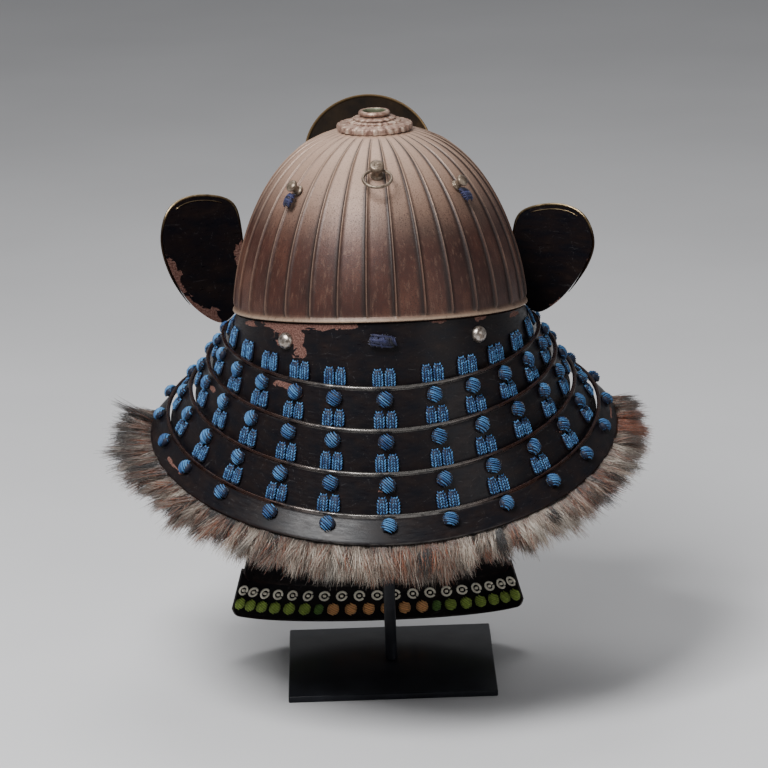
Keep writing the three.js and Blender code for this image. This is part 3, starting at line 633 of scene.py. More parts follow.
def animal_hair():
    """Coarse hair from off-white to red-brown, darkened towards its roots as painted shade, its tips as dark
    as the dye mark says.
    """
    f = Finish("animal hair", Sheen_Weight=0.2, Specular_IOR_Level=0.35, Roughness=0.6)
    fine = f.noise(f.place(), 900.0, 2.0, 0.5)
    share = f.plus(f.mark("tint"), f.times(f.minus(fine, 0.5), 0.25))
    colour = f.ramp(share, (0.0, (0.012, 0.01, 0.009)), (0.16, (0.03, 0.02, 0.016)),
                    (0.24, (0.32, 0.085, 0.03)), (0.38, (0.17, 0.115, 0.085)),
                    (0.62, (0.33, 0.265, 0.21)), (0.95, (0.6, 0.54, 0.46)))
    # Painted shade: the hairs darken towards their roots.
    deep = f.mix(f.step(f.mark("along"), 0.0, 0.7), (0.42, 0.38, 0.35), (1.0, 1.0, 1.0))
    shaded = f.mix(1.0, colour, deep, "MULTIPLY")
    tips = f.times(f.step(f.mark("along"), 0.3, 0.9), f.mark("dye"))
    return f.done(Base_Color=f.mix(tips, shaded, (0.02, 0.017, 0.015)), Normal=f.bump(fine, 0.2, 0.05))


def black_steel():
    """The stand's smooth black coating."""
    f = Finish("black steel", Coat_Weight=0.03, Coat_Roughness=0.15, Specular_IOR_Level=0.18)
    dust = f.noise(f.place(), 60.0, 4.0, 0.6)
    colour = f.ramp(dust, (0.4, (0.008, 0.0085, 0.0115)), (0.75, (0.018, 0.0195, 0.025)))
    peel = f.noise(f.place(), 900.0, 2.0, 0.5)
    return f.done(Base_Color=colour, Roughness=f.span(dust, 0.24, 0.42), Normal=f.bump(peel, 0.08, 0.05))


def pale_floor():
    """The plain floor."""
    f = Finish("pale floor", Roughness=0.7)
    clouds = f.noise(f.place(), 3.0, 3.0)
    return f.done(Base_Color=f.ramp(clouds, (0.3, (0.6, 0.6, 0.61)), (0.7, (0.64, 0.64, 0.65))))


IRON = russet_iron()
CROWN = crown_bronze()
POSTS = worn_iron()
LACQUER = black_lacquer()
BRASS = aged_brass()
BRONZE = crest_bronze()
SILVER = silvered_iron()
BLUE = silk("blue silk", (0.0012, 0.004, 0.018), (0.008, 0.046, 0.155), (0.075, 0.235, 0.47))
INDIGO = silk("indigo silk", (0.001, 0.001, 0.006), (0.008, 0.009, 0.038), (0.04, 0.045, 0.13))
DYED = dyed_silk()
HAIR = animal_hair()
STEEL = black_steel()

# ------------------------------------------------------------------ repeated shapes

def shape_object(name, sections):
    """A small closed shape, marked from 0 at its first ring to 1 at its last, that a tree repeats."""
    rings = np.asarray(sections) / MM
    along = np.broadcast_to(np.linspace(0, 1, len(rings))[:, None], rings.shape[:2])
    made = loft(name, rings, BLUE, marks={"along": along}, crease=180)
    made.hide_render = True
    return made


def sausage(name, path, radius, sides=5):
    """A rounded strand along a path, a unit in size."""
    steps = np.linspace(0, 1, len(path))
    swell = np.sqrt(np.clip(1 - (2 * steps - 1) ** 4, 0.12, 1)) * radius
    rings = tube(path, 1.0, sides)
    centres = np.asarray(path)[:, None, :]
    return shape_object(name, centres + (rings - centres) * swell[:, None, None])


def hair(name, bend, thin):
    """One tapering hair along +X, a unit long."""
    sections = []
    for t, width in ((0.0, 0.9), (0.5, 0.9), (1.0, thin)):
        half = width / 2
        sections.append([(t, half * math.cos(a), half * math.sin(a) + bend * t * t) for a in (0.5, 2.6, 4.7)])
    return shape_object(name, sections)


def repeat_tree():
    """A tree that sets a shape on every point, turned and sized by the point's own marks."""
    t = Tree("repeat a shape", Points="Geometry", Shape="Object", Finish="Material", Looseness="Float",
             Seed="Int")
    shape = t.add("GeometryNodeObjectInfo", "Geometry", {"Object": t.given["Shape"]})
    most = t.given["Looseness"]
    loose = t.add("FunctionNodeRandomValue", "Value", {"Min": t.times(most, -1.0), "Max": most,
                                                       "Seed": t.given["Seed"]}, data_type="FLOAT_VECTOR")
    shaken = t.add("FunctionNodeRotateRotation", "Rotation", {
        "Rotation": t.mark("turn", "QUATERNION"),
        "Rotate By": t.add("FunctionNodeEulerToRotation", 0, {0: loose})}, rotation_space="LOCAL")
    return t.done(t.add("GeometryNodeInstanceOnPoints", "Instances", {
        "Points": t.given["Points"], "Instance": shape, "Rotation": shaken,
        "Scale": t.mark("size", "FLOAT_VECTOR")}))


def turns_from(along, out):
    """Quaternions that turn +X along a direction and +Z out of a surface."""
    out = unit(out)
    along = unit(along - out * np.sum(along * out, -1, keepdims=True))
    m = np.stack([along, np.cross(out, along), out], -1)
    x, y, z = m[:, 0, 0], m[:, 1, 1], m[:, 2, 2]
    size = [np.sqrt(np.maximum(0, 1 + total)) / 2 for total in (x + y + z, x - y - z, y - x - z, z - x - y)]
    return np.stack([size[0], np.copysign(size[1], m[:, 2, 1] - m[:, 1, 2]),
                     np.copysign(size[2], m[:, 0, 2] - m[:, 2, 0]),
                     np.copysign(size[3], m[:, 1, 0] - m[:, 0, 1])], -1)


class Spots:
    """Places in millimetres where a shape is repeated."""

    def __init__(self):
        self.rows = {"at": [], "along": [], "out": [], "size": [], "tint": [], "dye": []}

    def add(self, at, along, out, size, tint=0.5, dye=0.0):
        """Adds one place, or arrays of them."""
        at = np.atleast_2d(at)
        for name, value in (("at", at), ("along", along), ("out", out), ("size", size)):
            self.rows[name].append(np.broadcast_to(np.asarray(value, float), at.shape))
        for name, value in (("tint", tint), ("dye", dye)):
            self.rows[name].append(np.broadcast_to(np.asarray(value, float), at.shape[:1]))

    def repeat(self, name, shape, material, looseness=0.0, seed=1):
        """One plain mesh of the shape at every place."""
        rows = {key: np.concatenate(value) for key, value in self.rows.items()}
        mesh = bpy.data.meshes.new(name)
        mesh.from_pydata((rows["at"] * MM).tolist(), [], [])
        store(mesh, "turn", turns_from(rows["along"], rows["out"]), "QUATERNION")
        store(mesh, "size", rows["size"] * MM, "FLOAT_VECTOR")
        for mark in ("tint", "dye"):
            store(mesh, mark, rows[mark])
        made = run_through(new_object(name, mesh), REPEAT, Shape=shape, Finish=material,
                           Looseness=looseness, Seed=seed)
        made.data.shade_smooth()
        return made


REPEAT = repeat_tree()
ARC = sausage("cord arc", [(math.sin(a), 0.0, math.cos(a)) for a in np.linspace(-1.25, 1.25, 6)], 0.2)
STITCH = sausage("stitch", [(x, 0.0, 0.0) for x in (-0.5, -0.2, 0.2, 0.5)], 0.5)
BALL = sausage("ball", [(x, 0.0, 0.0) for x in (-0.5, -0.4, -0.15, 0.15, 0.4, 0.5)], 0.5, 8)
TURN = [(math.cos(a), math.sin(a), 0.0) for a in np.linspace(0, 5.9, 12)]
LOOP = shape_object("loop", tube(TURN, 0.26, 5))
HAIR_STRAND = hair("hair", -0.05, 0.2)


# ------------------------------------------------------------------ bowl

# How high a plate stands, from 0 to 1, at shares of its breadth from one ridge to the next.
RIDGE_PROFILE = ((0.0, 1.0), (0.025, 0.95), (0.05, 0.25), (0.08, 0.0), (0.3, 0.02), (0.75, 0.12),
                 (0.93, 0.22), (0.965, 0.5), (0.99, 0.95), (1.0, 1.0))
PLATE_STATIONS = np.array([0.0, 0.025, 0.05, 0.08, 0.14, 0.25, 0.45, 0.65, 0.82, 0.93, 0.965, 0.985])
# The rolled rim as (rise, out).
RIM_LIP = [(0.0, -BOWL["wall"]), (0.0, 0.6), (0.001, 1.7), (0.006, 2.1), (0.013, 1.9), (0.02, 1.2),
           (0.03, 0.2)]


def ridge_tree():
    """A tree that raises the bowl's standing ridges from the marks of a smooth shell."""
    t = Tree("raise the ridges", Shell="Geometry", Height="Float", Finish="Material")
    raised = t.add("ShaderNodeFloatCurve", 0, {"Value": t.mark("across")})
    curve = raised.node.mapping
    for at, height in RIDGE_PROFILE[1:-1]:
        curve.curves[0].points.new(at, height)
    for point, place in zip(curve.curves[0].points, RIDGE_PROFILE):
        point.location = place
        point.handle_type = "VECTOR"
    curve.update()
    tall = t.times(t.times(raised, t.mark("fade")), t.given["Height"])
    offset = t.add("ShaderNodeVectorMath", 0, {0: t.add("GeometryNodeInputNormal"), "Scale": tall},
                   operation="SCALE")
    return t.done(t.add("GeometryNodeSetPosition", 0, {"Geometry": t.given["Shell"], "Offset": offset}))


def make_bowl():
    """The domed bowl of overlapping plates, with a rolled rim."""
    hole = rise_at_share(BOWL["bore"] / RIM[0])
    outer = [(rise, 0.0) for rise in np.linspace(0.045, 0.9, 40)]
    outer += [(rise, 0.0) for rise in np.linspace(0.91, hole, 12)]
    inner = [(rise, -BOWL["wall"]) for rise in np.linspace(hole, 0.04, 22)]
    rises, offsets = np.array(RIM_LIP + outer + inner).T
    plates = BOWL["plates"]
    degrees = ((np.arange(plates)[:, None] + 0.5 + PLATE_STATIONS[None, :]) * 360 / plates).ravel()
    points = bowl_points(rises[None, :], degrees[:, None], offsets[None, :])
    outside = offsets > -1
    fade = np.clip((0.975 - rises) / 0.08, 0, 1) * np.clip((rises - 0.02) / 0.03, 0, 1) * outside
    fade = np.broadcast_to(fade * (1 - 0.35 * rises), points.shape[:2])
    share = np.broadcast_to(np.tile(PLATE_STATIONS, plates)[:, None], points.shape[:2])
    crest = np.clip(1 - np.minimum(share, 1 - share) / 0.035, 0, 1) * (fade > 0)
    rim = bell(rises, 0, 0.02) * outside
    # Painted shade on the plates just after each ridge, fainter just before the next.
    painted_ridge_shade = np.maximum(np.interp(share, [0.02, 0.05, 0.1, 0.26], [0, 1, 1, 0]),
                        np.interp(share, [0.84, 0.95, 0.985], [0, 0.6, 0])) * (fade > 0)
    marks = {"across": share, "fade": fade, "wear": np.maximum(crest * 0.25, rim[None, :]), "painted_ridge_shade": painted_ridge_shade}
    bowl = loft("bowl shell", points, IRON, closed=True, marks=marks, crease=32)
    run_through(bowl, ridge_tree(), Height=BOWL["ridge"] * MM, Finish=IRON)
    dress(bowl, "russet_iron", "bowl")


# A washer of the crown: its piece's name, radius, depth and number of lobes, how sharp they are, and
# its section as (share of the way out, z).
WASHERS = {
    "crown_petals": ("crown petals", 28.5, 1.1, 28, 4.0, [
        (0.96, 425.6), (1.0, 426.0), (1.0, 429.0), (0.975, 429.7), (0.93, 429.4), (0.9, 429.7),
        (0.75, 430.6), (0.4, 431.6), (0.0, 432.4), (0.0, 427.5)]),
    "crown_teeth": ("crown teeth", 20.3, 1.7, 26, 1.0, [
        (1.0, 431.3), (1.0, 431.9), (0.95, 432.3), (0.5, 433.2), (0.0, 434.0), (0.0, 432.8)]),
    "crown_petals_upper": ("crown upper petals", 16.3, 1.0, 18, 3.0, [
        (1.0, 433.5), (1.0, 434.1), (0.92, 434.5), (0.5, 435.2), (0.0, 435.6), (0.0, 434.4)]),
}
# The crown's ring as (radius past its tube, z).
CROWN_RING = [(-1.3, 428.0), (-1.3, 422.0), (0.0, 422.0), (0.0, 436.0), (1.9, 436.0), (2.8, 437.8),
              (1.7, 439.5), (-0.6, 439.5), (-1.3, 438.2), (-1.3, 428.2)]


def make_crown():
    """The stacked fitting round the bowl's top hole."""
    bore = BOWL["bore"]
    for node, (name, radius, dip, lobes, sharp, profile) in WASHERS.items():
        angles = np.linspace(0, 2 * math.pi, lobes * 8, endpoint=False)
        edge = radius - dip * np.abs(np.sin(angles * lobes / 2)) ** sharp
        sections = []
        for angle, rim in zip(angles, edge):
            reach = [(bore + (rim - bore) * share, height) for share, height in profile]
            sections.append([(r * math.sin(angle), r * math.cos(angle), height) for r, height in reach])
        dress(loft(name, sections, CROWN, closed=True), "russet_iron", node)
    ring = rounded([(bore - 0.5 + r, z) for r, z in CROWN_RING], 4, 0.35)
    dress(loft("crown ring", turned(ring, 48), CROWN, closed=True, crease=60), "russet_iron", "crown_ring")


# Each post as (radius, height).
POST_PROFILE = [(0, 0), (4.4, 0), (4.0, 0.8), (2.7, 1.6), (2.6, 5.2), (4.3, 5.8), (4.7, 6.8), (4.2, 8.2),
                (2.6, 9.2), (0, 9.5)]
RING_POST_PROFILE = [(0, 0), (5.0, 0), (4.6, 0.9), (3.5, 1.8), (3.5, 8.4), (5.2, 9.1), (5.6, 9.9),
                     (5.4, 11.6), (4.2, 12.5), (1.8, 12.7), (1.5, 12.3), (0, 12.3)]
RIVET_PROFILE = [(0, -1.5), (6.0, -1.5), (6.3, 0), (6.2, 1.2), (5.4, 3.1), (3.6, 4.6), (1.7, 5.2), (0, 5.3)]


def studs(name, profile, seat, material, slot, node, segments=40, **where):
    """A small turned stud set on a place."""
    points = seated(turned(rounded(profile), segments), seat, **where)
    dress(loft(name, points, material, closed=True, crease=60), slot, node)


def make_posts():
    """The small domed posts and the cord knots under the rear two."""
    share = rise_at_share(POST["share"])
    for row in ("rear", "front"):
        for side, sign in SIDES:
            node = f"{row}_post_{side}"
            studs(node, POST_PROFILE, bowl_seat(share, sign * POST[row]), POSTS, "russet_iron", node,
                  out=POST["stand_off"])
    for side, sign in SIDES:
        seat = bowl_seat(share, sign * POST["rear"])
        wraps = Spots()
        for down in np.linspace(REAR_CORD["from"], REAR_CORD["to"], REAR_CORD["turns"]):
            swell = 1 - 0.3 * ((down - 10) / 4.8) ** 2
            along = seat.across + seat.down * REAR_CORD["lean"]
            wraps.add(seat.at(0, down, REAR_CORD["out"]), along, seat.out,
                      (4.9 * swell, 5.6, 4.2 * swell), chance.uniform(0.2, 0.9))
        for across in (-2.6, 2.5):
            wraps.add(seat.at(across, 10.2, 3.0), seat.down, seat.out, (6.0, 5.6, 3.8), 0.6)
        node = f"rear_cord_{side}"
        dress(wraps.repeat(node, ARC, INDIGO, 0.12, 3), "indigo_cord", node)


def make_rear_ring():
    """The ringed post at the back of the bowl and its swinging ring."""
    seat = bowl_seat(RING["seat"], 0.0)
    studs("ring post", RING_POST_PROFILE, seat, POSTS, "russet_iron", "rear_ring_post", 48, out=RING["gap"])
    eye = seat.at(0, 0, RING["eye"] + RING["gap"])
    droop = math.radians(RING["droop"])
    reach, side = np.array([0, math.cos(droop), -math.sin(droop)]), np.array([1.0, 0, 0])
    path = [eye + RING["radius"] * (reach + math.cos(a) * side + math.sin(a) * reach)
            for a in np.linspace(0, 2 * math.pi, 73)[:-1]]
    ring = loft("cord ring", tube(path, RING["wire"], 12, closed=True), POSTS, closed=True, crease=180)
    dress(ring, "aged_brass", "cord_ring", body=SWINGING)


# ------------------------------------------------------------------ brow

def make_brow():
    """The band under the rim, the brow shelf with its holder, and the disc crest."""
    degrees = np.arange(0, 360, 3.0)
    outer = ring_points(grow(RIM, -BAND["inset"]), degrees)
    inner = ring_points(grow(RIM, -BAND["inset"] - BAND["wall"]), degrees)
    lift = np.array([0, 0, 1.0])
    up, down = lift * BAND["up"], lift * -BAND["down"]
    band = [outer + up, outer + down, (outer + inner) / 2 + down - lift * BAND["corner"], inner + down,
            inner + up]
    dress(loft("brow_band", np.stack(band, 1), IRON, closed=True), "russet_iron", "brow_band")

    sections = []
    low = lift * -VISOR["wall"]
    for turn in np.linspace(-1, 1, VISOR["stations"]):
        far = VISOR["root"] + VISOR["reach"] * math.sqrt(max(0, 1 - turn ** 2))
        line = [ring_points(grow(RIM, -2.4 + far * t, 2.6 + far * VISOR["drop"] * t * (1.15 - 0.15 * t)),
                            180 + turn * VISOR["half_angle"]) for t in (0, 0.25, 0.5, 0.75, 0.94, 1.0)]
        sections.append(line + [line[-1] + low / 2] + [p + low for p in line[-2::-1]])
    sections = np.array(sections)
    marks = {mark: np.zeros(sections.shape[:2]) for mark in ("flake", "wear")}
    marks["wear"][:, 4:8] = 0.8
    dress(loft("visor", sections, LACQUER, lay=sections, marks=marks), "black_lacquer", "visor")
    dress(box_object("crest holder", HOLDER["size"], HOLDER["at"], LACQUER, 0.8), "black_lacquer")

    radius, face = CREST["radius"], CREST["wall"] / 2
    half = [(0, -face), (radius * 0.4, -face), (radius - 2.6, -face), (radius - 1.9, -1.5),
            (radius - 0.8, -1.7), (radius, -0.8)]
    disc = turned(half + [(r, -z) for r, z in half[::-1]], 120)
    lean = math.radians(90 + CREST["lean"])
    roll = np.array([[1, 0, 0], [0, math.cos(lean), -math.sin(lean)], [0, math.sin(lean), math.cos(lean)]])
    edge = [0, 0, 0, 0.1, 0.6, 1]
    crest = loft("crest disc", disc @ roll.T + (CREST["x"], CREST["y"], CREST["z"]), BRONZE, closed=True,
                 marks={"wear": np.broadcast_to(np.array(edge + edge[::-1]), disc.shape[:2])})
    dress(crest, "aged_brass", "crest")
    dress(box_object("crest stem", STEM["size"], STEM["at"], BRONZE, 0.4), "aged_brass")


# ------------------------------------------------------------------ neck guard

# A flaked patch is (angle, mm down, half its width in degrees, half its height in mm).
FLAKES = {
    0: [(37, 1.0, 26, 4.0), (16, 1.0, 8, 2.6), (38, 9.0, 8.5, 9.0), (33, 21.0, 4.0, 6.5), (-22, 0.5, 4, 1.6),
        (62, 3, 8, 2.5), (-42, 1.5, 4, 2.4), (-64, 3, 8, 2.5), (100, 2, 14, 2.2), (-104, 2, 10, 2.0)],
    1: [(37, 7.0, 5, 3.0), (31, 9.0, 2, 5.0), (-78, 6, 6, 1.8)],
    2: [(-19, 12.0, 1.8, 2.8), (72, 9, 4, 2.0)],
    3: [(1.8, 14.0, 1.3, 2.2), (-60, 11, 3, 2.0)],
    4: [(66, 14, 6, 1.6), (-88, 14, 5, 1.4)],
}
# A lame's top edge as (mm down, out): plain on the top lame and a rolled bead on the others.
PLAIN_EDGE = [(0.0, -1.8), (0.0, -0.5), (0.3, 0.0), (1.2, 0.0)]
ROLLED_EDGE = [(0.4, -1.8), (-0.3, -1.3), (-0.6, -0.4), (-0.5, 0.6), (0.0, 1.3), (0.7, 1.6), (1.4, 1.3),
               (1.9, 0.7), (2.2, 0.2), (2.8, 0.0)]


def flaking(lame, angle, down):
    """How flaked a lame is at a place, from its patches."""
    return max(math.exp(-((angle - middle) / wide) ** 4 - ((down - at) / tall) ** 2 * 0.7)
               for middle, at, wide, tall in FLAKES[lame])


def make_lame(lame):
    """One row of the neck guard, with its own marks for wear and flaking."""
    bead = ROLLED_EDGE if lame else PLAIN_EDGE
    reach, stations = (LAME["ends"], 252) if lame else (LAME["ends"] + FACET, 266)
    sections, lays, wear, flake = [], [], [], []
    for angle in np.linspace(-reach, reach, stations):
        seat = lame_seat(lame, angle)
        end = seat.length + (0 if lame == LAST else LAME["overlap"])
        profile = bead + [(d, 0.0) for d in np.linspace(bead[-1][0], end - 1.2, 14)[1:]]
        profile += [(end - 0.4, -0.15), (end, -0.6), (end, -1.3), (end - 0.5, -LAME["wall"])]
        profile += [(d, -LAME["wall"]) for d in np.linspace(end - 2, 4.5, 5)]
        arc = math.radians(angle) * (RIM[0] + 15 * lame + 8)
        sections.append([seat.at(0, d, o) for d, o in profile])
        lays.append([(arc, d, o) for d, o in profile])
        rolled = [1.0 if lame and d < 2.3 and o > -0.5 and i < len(bead) else 0.0
                  for i, (d, o) in enumerate(profile)]
        wear.append(np.maximum(rolled, [0.35 if d > end - 0.8 else 0.0 for d, o in profile]))
        flake.append([flaking(lame, angle, d) * (0.75 if o > -1 else 0.3) for d, o in profile])
    node = f"lame_{lame + 1}"
    row = loft(node, sections, LACQUER, lay=lays, marks={"wear": wear, "flake": flake}, crease=50)
    dress(row, "black_lacquer", node)


# A turnback's outline from behind as (x, z): up from the fold, round the plate, and back.
TURNBACK_LEAD = [(78, 263), (91, 266), (98, 275)]
TURNBACK_CURVE = [(108, 274), (123, 263), (143, 279), (158, 306), (164, 333), (157, 355), (138, 361),
                  (113, 353), (106, 331), (104, 297)]
TURNBACK_TAIL = [(91, 284), (87, 275.5), (78, 275.5)]


def turnback_outline():
    """The outline of a turnback, rounded through the points of its curve."""
    padded = TURNBACK_CURVE[:1] + TURNBACK_CURVE + TURNBACK_CURVE[-1:]
    curve = []
    for p, q, r, s in zip(padded, padded[1:], padded[2:], padded[3:]):
        for t in np.linspace(0, 1, 9)[:-1]:
            curve.append(tuple(0.5 * (2 * b + (c - a) * t + (2 * a - 5 * b + 4 * c - d) * t * t
                                      + (3 * b - a - 3 * c + d) * t ** 3)
                               for a, b, c, d in zip(p, q, r, s)))
    return TURNBACK_LEAD + curve + TURNBACK_CURVE[-1:] + TURNBACK_TAIL


def turnback_point(x, z, depth, side):
    """Bends a flat turnback point into its place beside the bowl."""
    t = TURNBACK
    reach = (x - t["fold_x"]) / (t["outer_x"] - t["fold_x"])
    length = math.hypot(1, t["sweep"])
    share = np.clip((z - t["lift_from"]) / t["lift_span"], 0, 1)
    raised = t["lift"][side] * share * share * (3 - 2 * share)
    y = t["fold_y"] + (x - t["fold_x"]) * t["sweep"] - t["bulge"] * 4 * reach * (1 - reach)
    return (side * (x - depth * t["sweep"] / length), y + depth / length, z + raised)


def make_turnback(side):
    """One turned-back plate of the top lame, thick and bent, flaked along its lower and inner edges."""
    outline = turnback_outline()
    grid = [Vector((x, z)) for x in np.arange(80, 168, 3.0) for z in np.arange(262, 362, 3.0)]
    loop = list(range(len(outline)))
    edges = [(i, (i + 1) % len(outline)) for i in loop]
    flat, _, faces, *_ = delaunay_2d_cdt([Vector(p) for p in outline] + grid, edges, [loop], 1, 1e-4)
    used = sorted({i for face in faces for i in face})
    place = {old: new for new, old in enumerate(used)}
    count = len(used)
    half = TURNBACK["wall"] / 2
    points = [turnback_point(*flat[i], depth, side) for depth in (half, -half) for i in used]
    solid = [[place[i] for i in face] for face in faces]
    solid += [[place[i] + count for i in reversed(face)] for face in faces]
    border = {}
    for face in faces:
        for a, b in zip(face, list(face[1:]) + [face[0]]):
            border[(a, b)] = (b, a) not in border
            if (b, a) in border:
                border[(b, a)] = False
    solid += [[place[b], place[a], place[a] + count, place[b] + count]
              for (a, b), outer in border.items() if outer]
    rim = np.array(outline)
    distance = np.array([np.min(np.hypot(*(rim - flat[i]).T)) for i in used] * 2)
    x, z = np.array([flat[i] for i in used] * 2).T
    lower = np.clip((328 - z) / 12, 0, 1) * np.clip((x - 118) / 8, 0, 1)
    lower *= 0.74 + 0.26 * np.cos((z - 272) / 6.5)
    inner = np.clip((118 - x) / 8, 0, 1) * bell(z, 310, 18)
    strength = lower * (1.05 if side > 0 else 0.42) + inner * (1.0 if side > 0 else 0.3)
    marks = {"wear": np.zeros(len(x)), "flake": strength * np.exp(-distance / 9.0)}
    lay = np.column_stack([x * side, z, np.zeros(len(x))])
    dress(mesh_object("turnback", np.array(points), solid, LACQUER, lay, marks, 50), "black_lacquer")


def make_turnback_rim(node, side):
    """The brass edging of a turnback, with a thin inner line near its upper corner."""
    outline = np.array(turnback_outline())
    tangent = unit(np.roll(outline, -1, 0) - np.roll(outline, 1, 0))
    normal = np.stack([tangent[:, 1], -tangent[:, 0]], 1)
    # The edging leaves out the fold and the lower edge.
    edge = list(range(20, 73))
    beside = outline + normal * BRASS_EDGE["outside"]
    route = np.array([turnback_point(*beside[i], 0.0, side) for i in edge])
    steps = np.arange(len(edge))
    taper = np.minimum(1, np.minimum(steps, steps[::-1]) / 8 + 0.2)
    rings = route[:, None, :] + (tube(route, BRASS_EDGE["wire"]) - route[:, None, :]) * taper[:, None, None]
    # The edging is bright only near its top, a painted highlight; lower down it stays dark.
    wear = np.broadcast_to(np.clip((outline[edge, 1] - 340) / 14, 0, 1)[:, None], rings.shape[:2])
    dress(loft(node, rings, BRASS, marks={"wear": wear}, crease=180), "aged_brass", node)
    line = [i for i in edge if 40 <= i <= 60 and outline[i, 1] > BRASS_EDGE["line_above"]]
    beside = outline - normal * BRASS_EDGE["inside"]
    route = [turnback_point(*beside[i], BRASS_EDGE["wire"], side) for i in line]
    rings = tube(route, BRASS_EDGE["line"], 8)
    wear = np.ones(rings.shape[:2])
    dress(loft(node + " inner line", rings, BRASS, marks={"wear": wear}, crease=180), "aged_brass")


def make_neck_guard():
    """The neck guard's five rows, the turnbacks of the top one, and their brass edging."""
    for lame in range(len(EDGES)):
        make_lame(lame)
    for _, side in SIDES:
        make_turnback(side)
    for name, side in SIDES:
        make_turnback_rim(f"turnback_rim_{name}", side)


def make_rivets():
    """The domed rivets and the knotted cord of the top lame."""
    for name, side in SIDES:
        seat = lame_seat(0, column_angle(0, side * RIVET["column"]))
        studs(f"rivet_{name}", RIVET_PROFILE, seat, SILVER, "silvered_rivet", f"rivet_{name}",
              down=RIVET["down"], out=RIVET["gap"])
    seat = lame_seat(0, 0.0)
    wraps = Spots()
    half = CENTRE_CORD["half_width"]
    for across in np.linspace(-half, half, CENTRE_CORD["turns"]):
        swell = 1 - 0.3 * (across / 9.5) ** 2
        down = CENTRE_CORD["down"] + chance.uniform(-0.7, 0.7)
        wraps.add(seat.at(across, down, 0.3), seat.down + seat.across * CENTRE_CORD["lean"], seat.out,
                  (5.0 * swell, 4.8, 5.2 * swell), chance.uniform(0.1, 0.9))
    for down, tall in ((9.2, 4.2), (11.4, 5.0), (13.6, 5.0), (15.6, 4.0)):
        wraps.add(seat.at(chance.uniform(-1.5, 1.5), down, 0.6), seat.across + seat.down * 0.12, seat.out,
                  (9.6, 6.5, tall), chance.uniform(0.2, 0.7))
    dress(wraps.repeat("centre cord", ARC, INDIGO, 0.16, 5), "indigo_cord", "centre_cord")


# ------------------------------------------------------------------ lacing

def pair_top(lame, length):
    """How far down a lame its strap pair starts."""
    if lame == 0:
        return length - min(12.0, 0.7 * length)
    return max(0.6 * length, 5.4 + 0.42 * (length - 4.4))


def strap_core(seat, side, top, end):
    """Rings of one rounded strap of a pair."""
    sections = []
    half = STRAP["width"] / 2 - 0.5
    edge = [(-1.0, 0.1), (-0.96, 0.55), (-0.6, 0.92), (0.0, 1.0), (0.6, 0.92), (0.96, 0.55), (1.0, 0.1)]
    for down, share in ((top, 0.2), (top + 0.4, 0.5), (top + 1.2, 0.74), (top + 2.4, 0.92),
                        ((top + end) / 2 + 1.2, 1.0), (end - 1.5, 1.0), (end, 0.75)):
        tall = STRAP["height"] * share - 0.55
        middle = side * STRAP["centre"] * (0.72 + 0.28 * share)
        sections.append([seat.at(middle + half * share * a, down, 0.3 + tall * o) for a, o in edge])
    return sections


def strap_stitches(spots, seat, side, top, end):
    """The chevron stitches on one strap."""
    run = end - top - 0.6
    count = max(3, int(round(run / STRAP["pitch"])))
    for row in range(count):
        share = min(1.0, 0.55 + 0.25 * row)
        for across, slant, drop in zip(STITCHES["lines"], STITCHES["slants"], STITCHES["drops"]):
            down = top + 0.7 + row * run / count + drop
            rise = 0.3 + (STRAP["height"] * share - 0.7) * math.sqrt(1 - (across / 3.9) ** 2 * 0.55)
            spots.add(seat.at(side * STRAP["centre"] + across * share, down, rise),
                      seat.down + seat.across * slant, seat.out + seat.across * (across / 7.5),
                      STITCHES["size"], chance.uniform(0.45, 1.1))


def knot(spots, balls, seat, down, width, height, tall, turns, dye=0.0):
    """A wrapped knot: a ball under slanting turns of cord, the ball dark as painted shade between the turns.
    """
    tone = chance.uniform(0.35, 0.65)
    top = 0.4 + 0.775 * tall
    # The ball's low tone is painted shade showing between the turns.
    balls.add(seat.at(0, down, (top - 1.0) / 2), seat.across, seat.out,
              (width * 0.88, height * 0.86, top + 1.0), 0.05, dye)
    lean = KNOT["lean"] + chance.uniform(-0.22, 0.22)
    cosine, sine = math.cos(lean), math.sin(lean)
    along = seat.across * cosine + seat.down * sine
    beside = seat.down * cosine - seat.across * sine
    reach = math.hypot(height / 2 * cosine, width / 2 * sine)
    for share in np.linspace(-0.82, 0.82, turns):
        swell = math.sqrt(1 - share * share * 0.85)
        half = 0.5 * math.hypot(width * cosine, height * sine) * 0.98 * swell
        spots.add(seat.at(0, down, 0.1) + beside * reach * share, along, seat.out,
                  (half, 17.5 / turns, tall * 0.9 * swell), tone + chance.uniform(0.0, 0.5), dye)


def make_lacing():
    """Every lacing column: strap pairs over the lames, and the knots where they come out."""
    for column in range(-COLUMNS_EACH_SIDE, COLUMNS_EACH_SIDE + 1):
        number = f"{column + COLUMNS_EACH_SIDE + 1:02d}"
        cores, stitches, wraps, balls = [], Spots(), Spots(), Spots()
        for lame in range(len(EDGES)):
            seat = lame_seat(lame, column_angle(lame, column))
            top = pair_top(lame, seat.length)
            if lame > 0:
                height = min(KNOT["height"], top - 3.6)
                knot(wraps, balls, seat, KNOT["from_top"] + height / 2, KNOT["width"], height, KNOT["tall"],
                     KNOT["turns"])
            if lame < LAST:
                for side in (-1, 1):
                    cores.append(strap_core(seat, side, top, seat.length + 2))
                    strap_stitches(stitches, seat, side, top, seat.length + 1.4)
        # The strap cores' low tone is painted shade in the gaps between the stitches.
        core = many_lofts(f"lacing core {number}", cores, BLUE, 0.1)
        dress(core, "blue_braid", f"lacing_{number}")
        dress(stitches.repeat(f"lacing stitches {number}", STITCH, BLUE, 0.08, column + 20), "blue_braid")
        dress(wraps.repeat(f"lacing turns {number}", ARC, BLUE, 0.05, column + 50), "blue_braid")
        dress(balls.repeat(f"lacing knots {number}", BALL, BLUE), "blue_braid")


# ------------------------------------------------------------------ fur

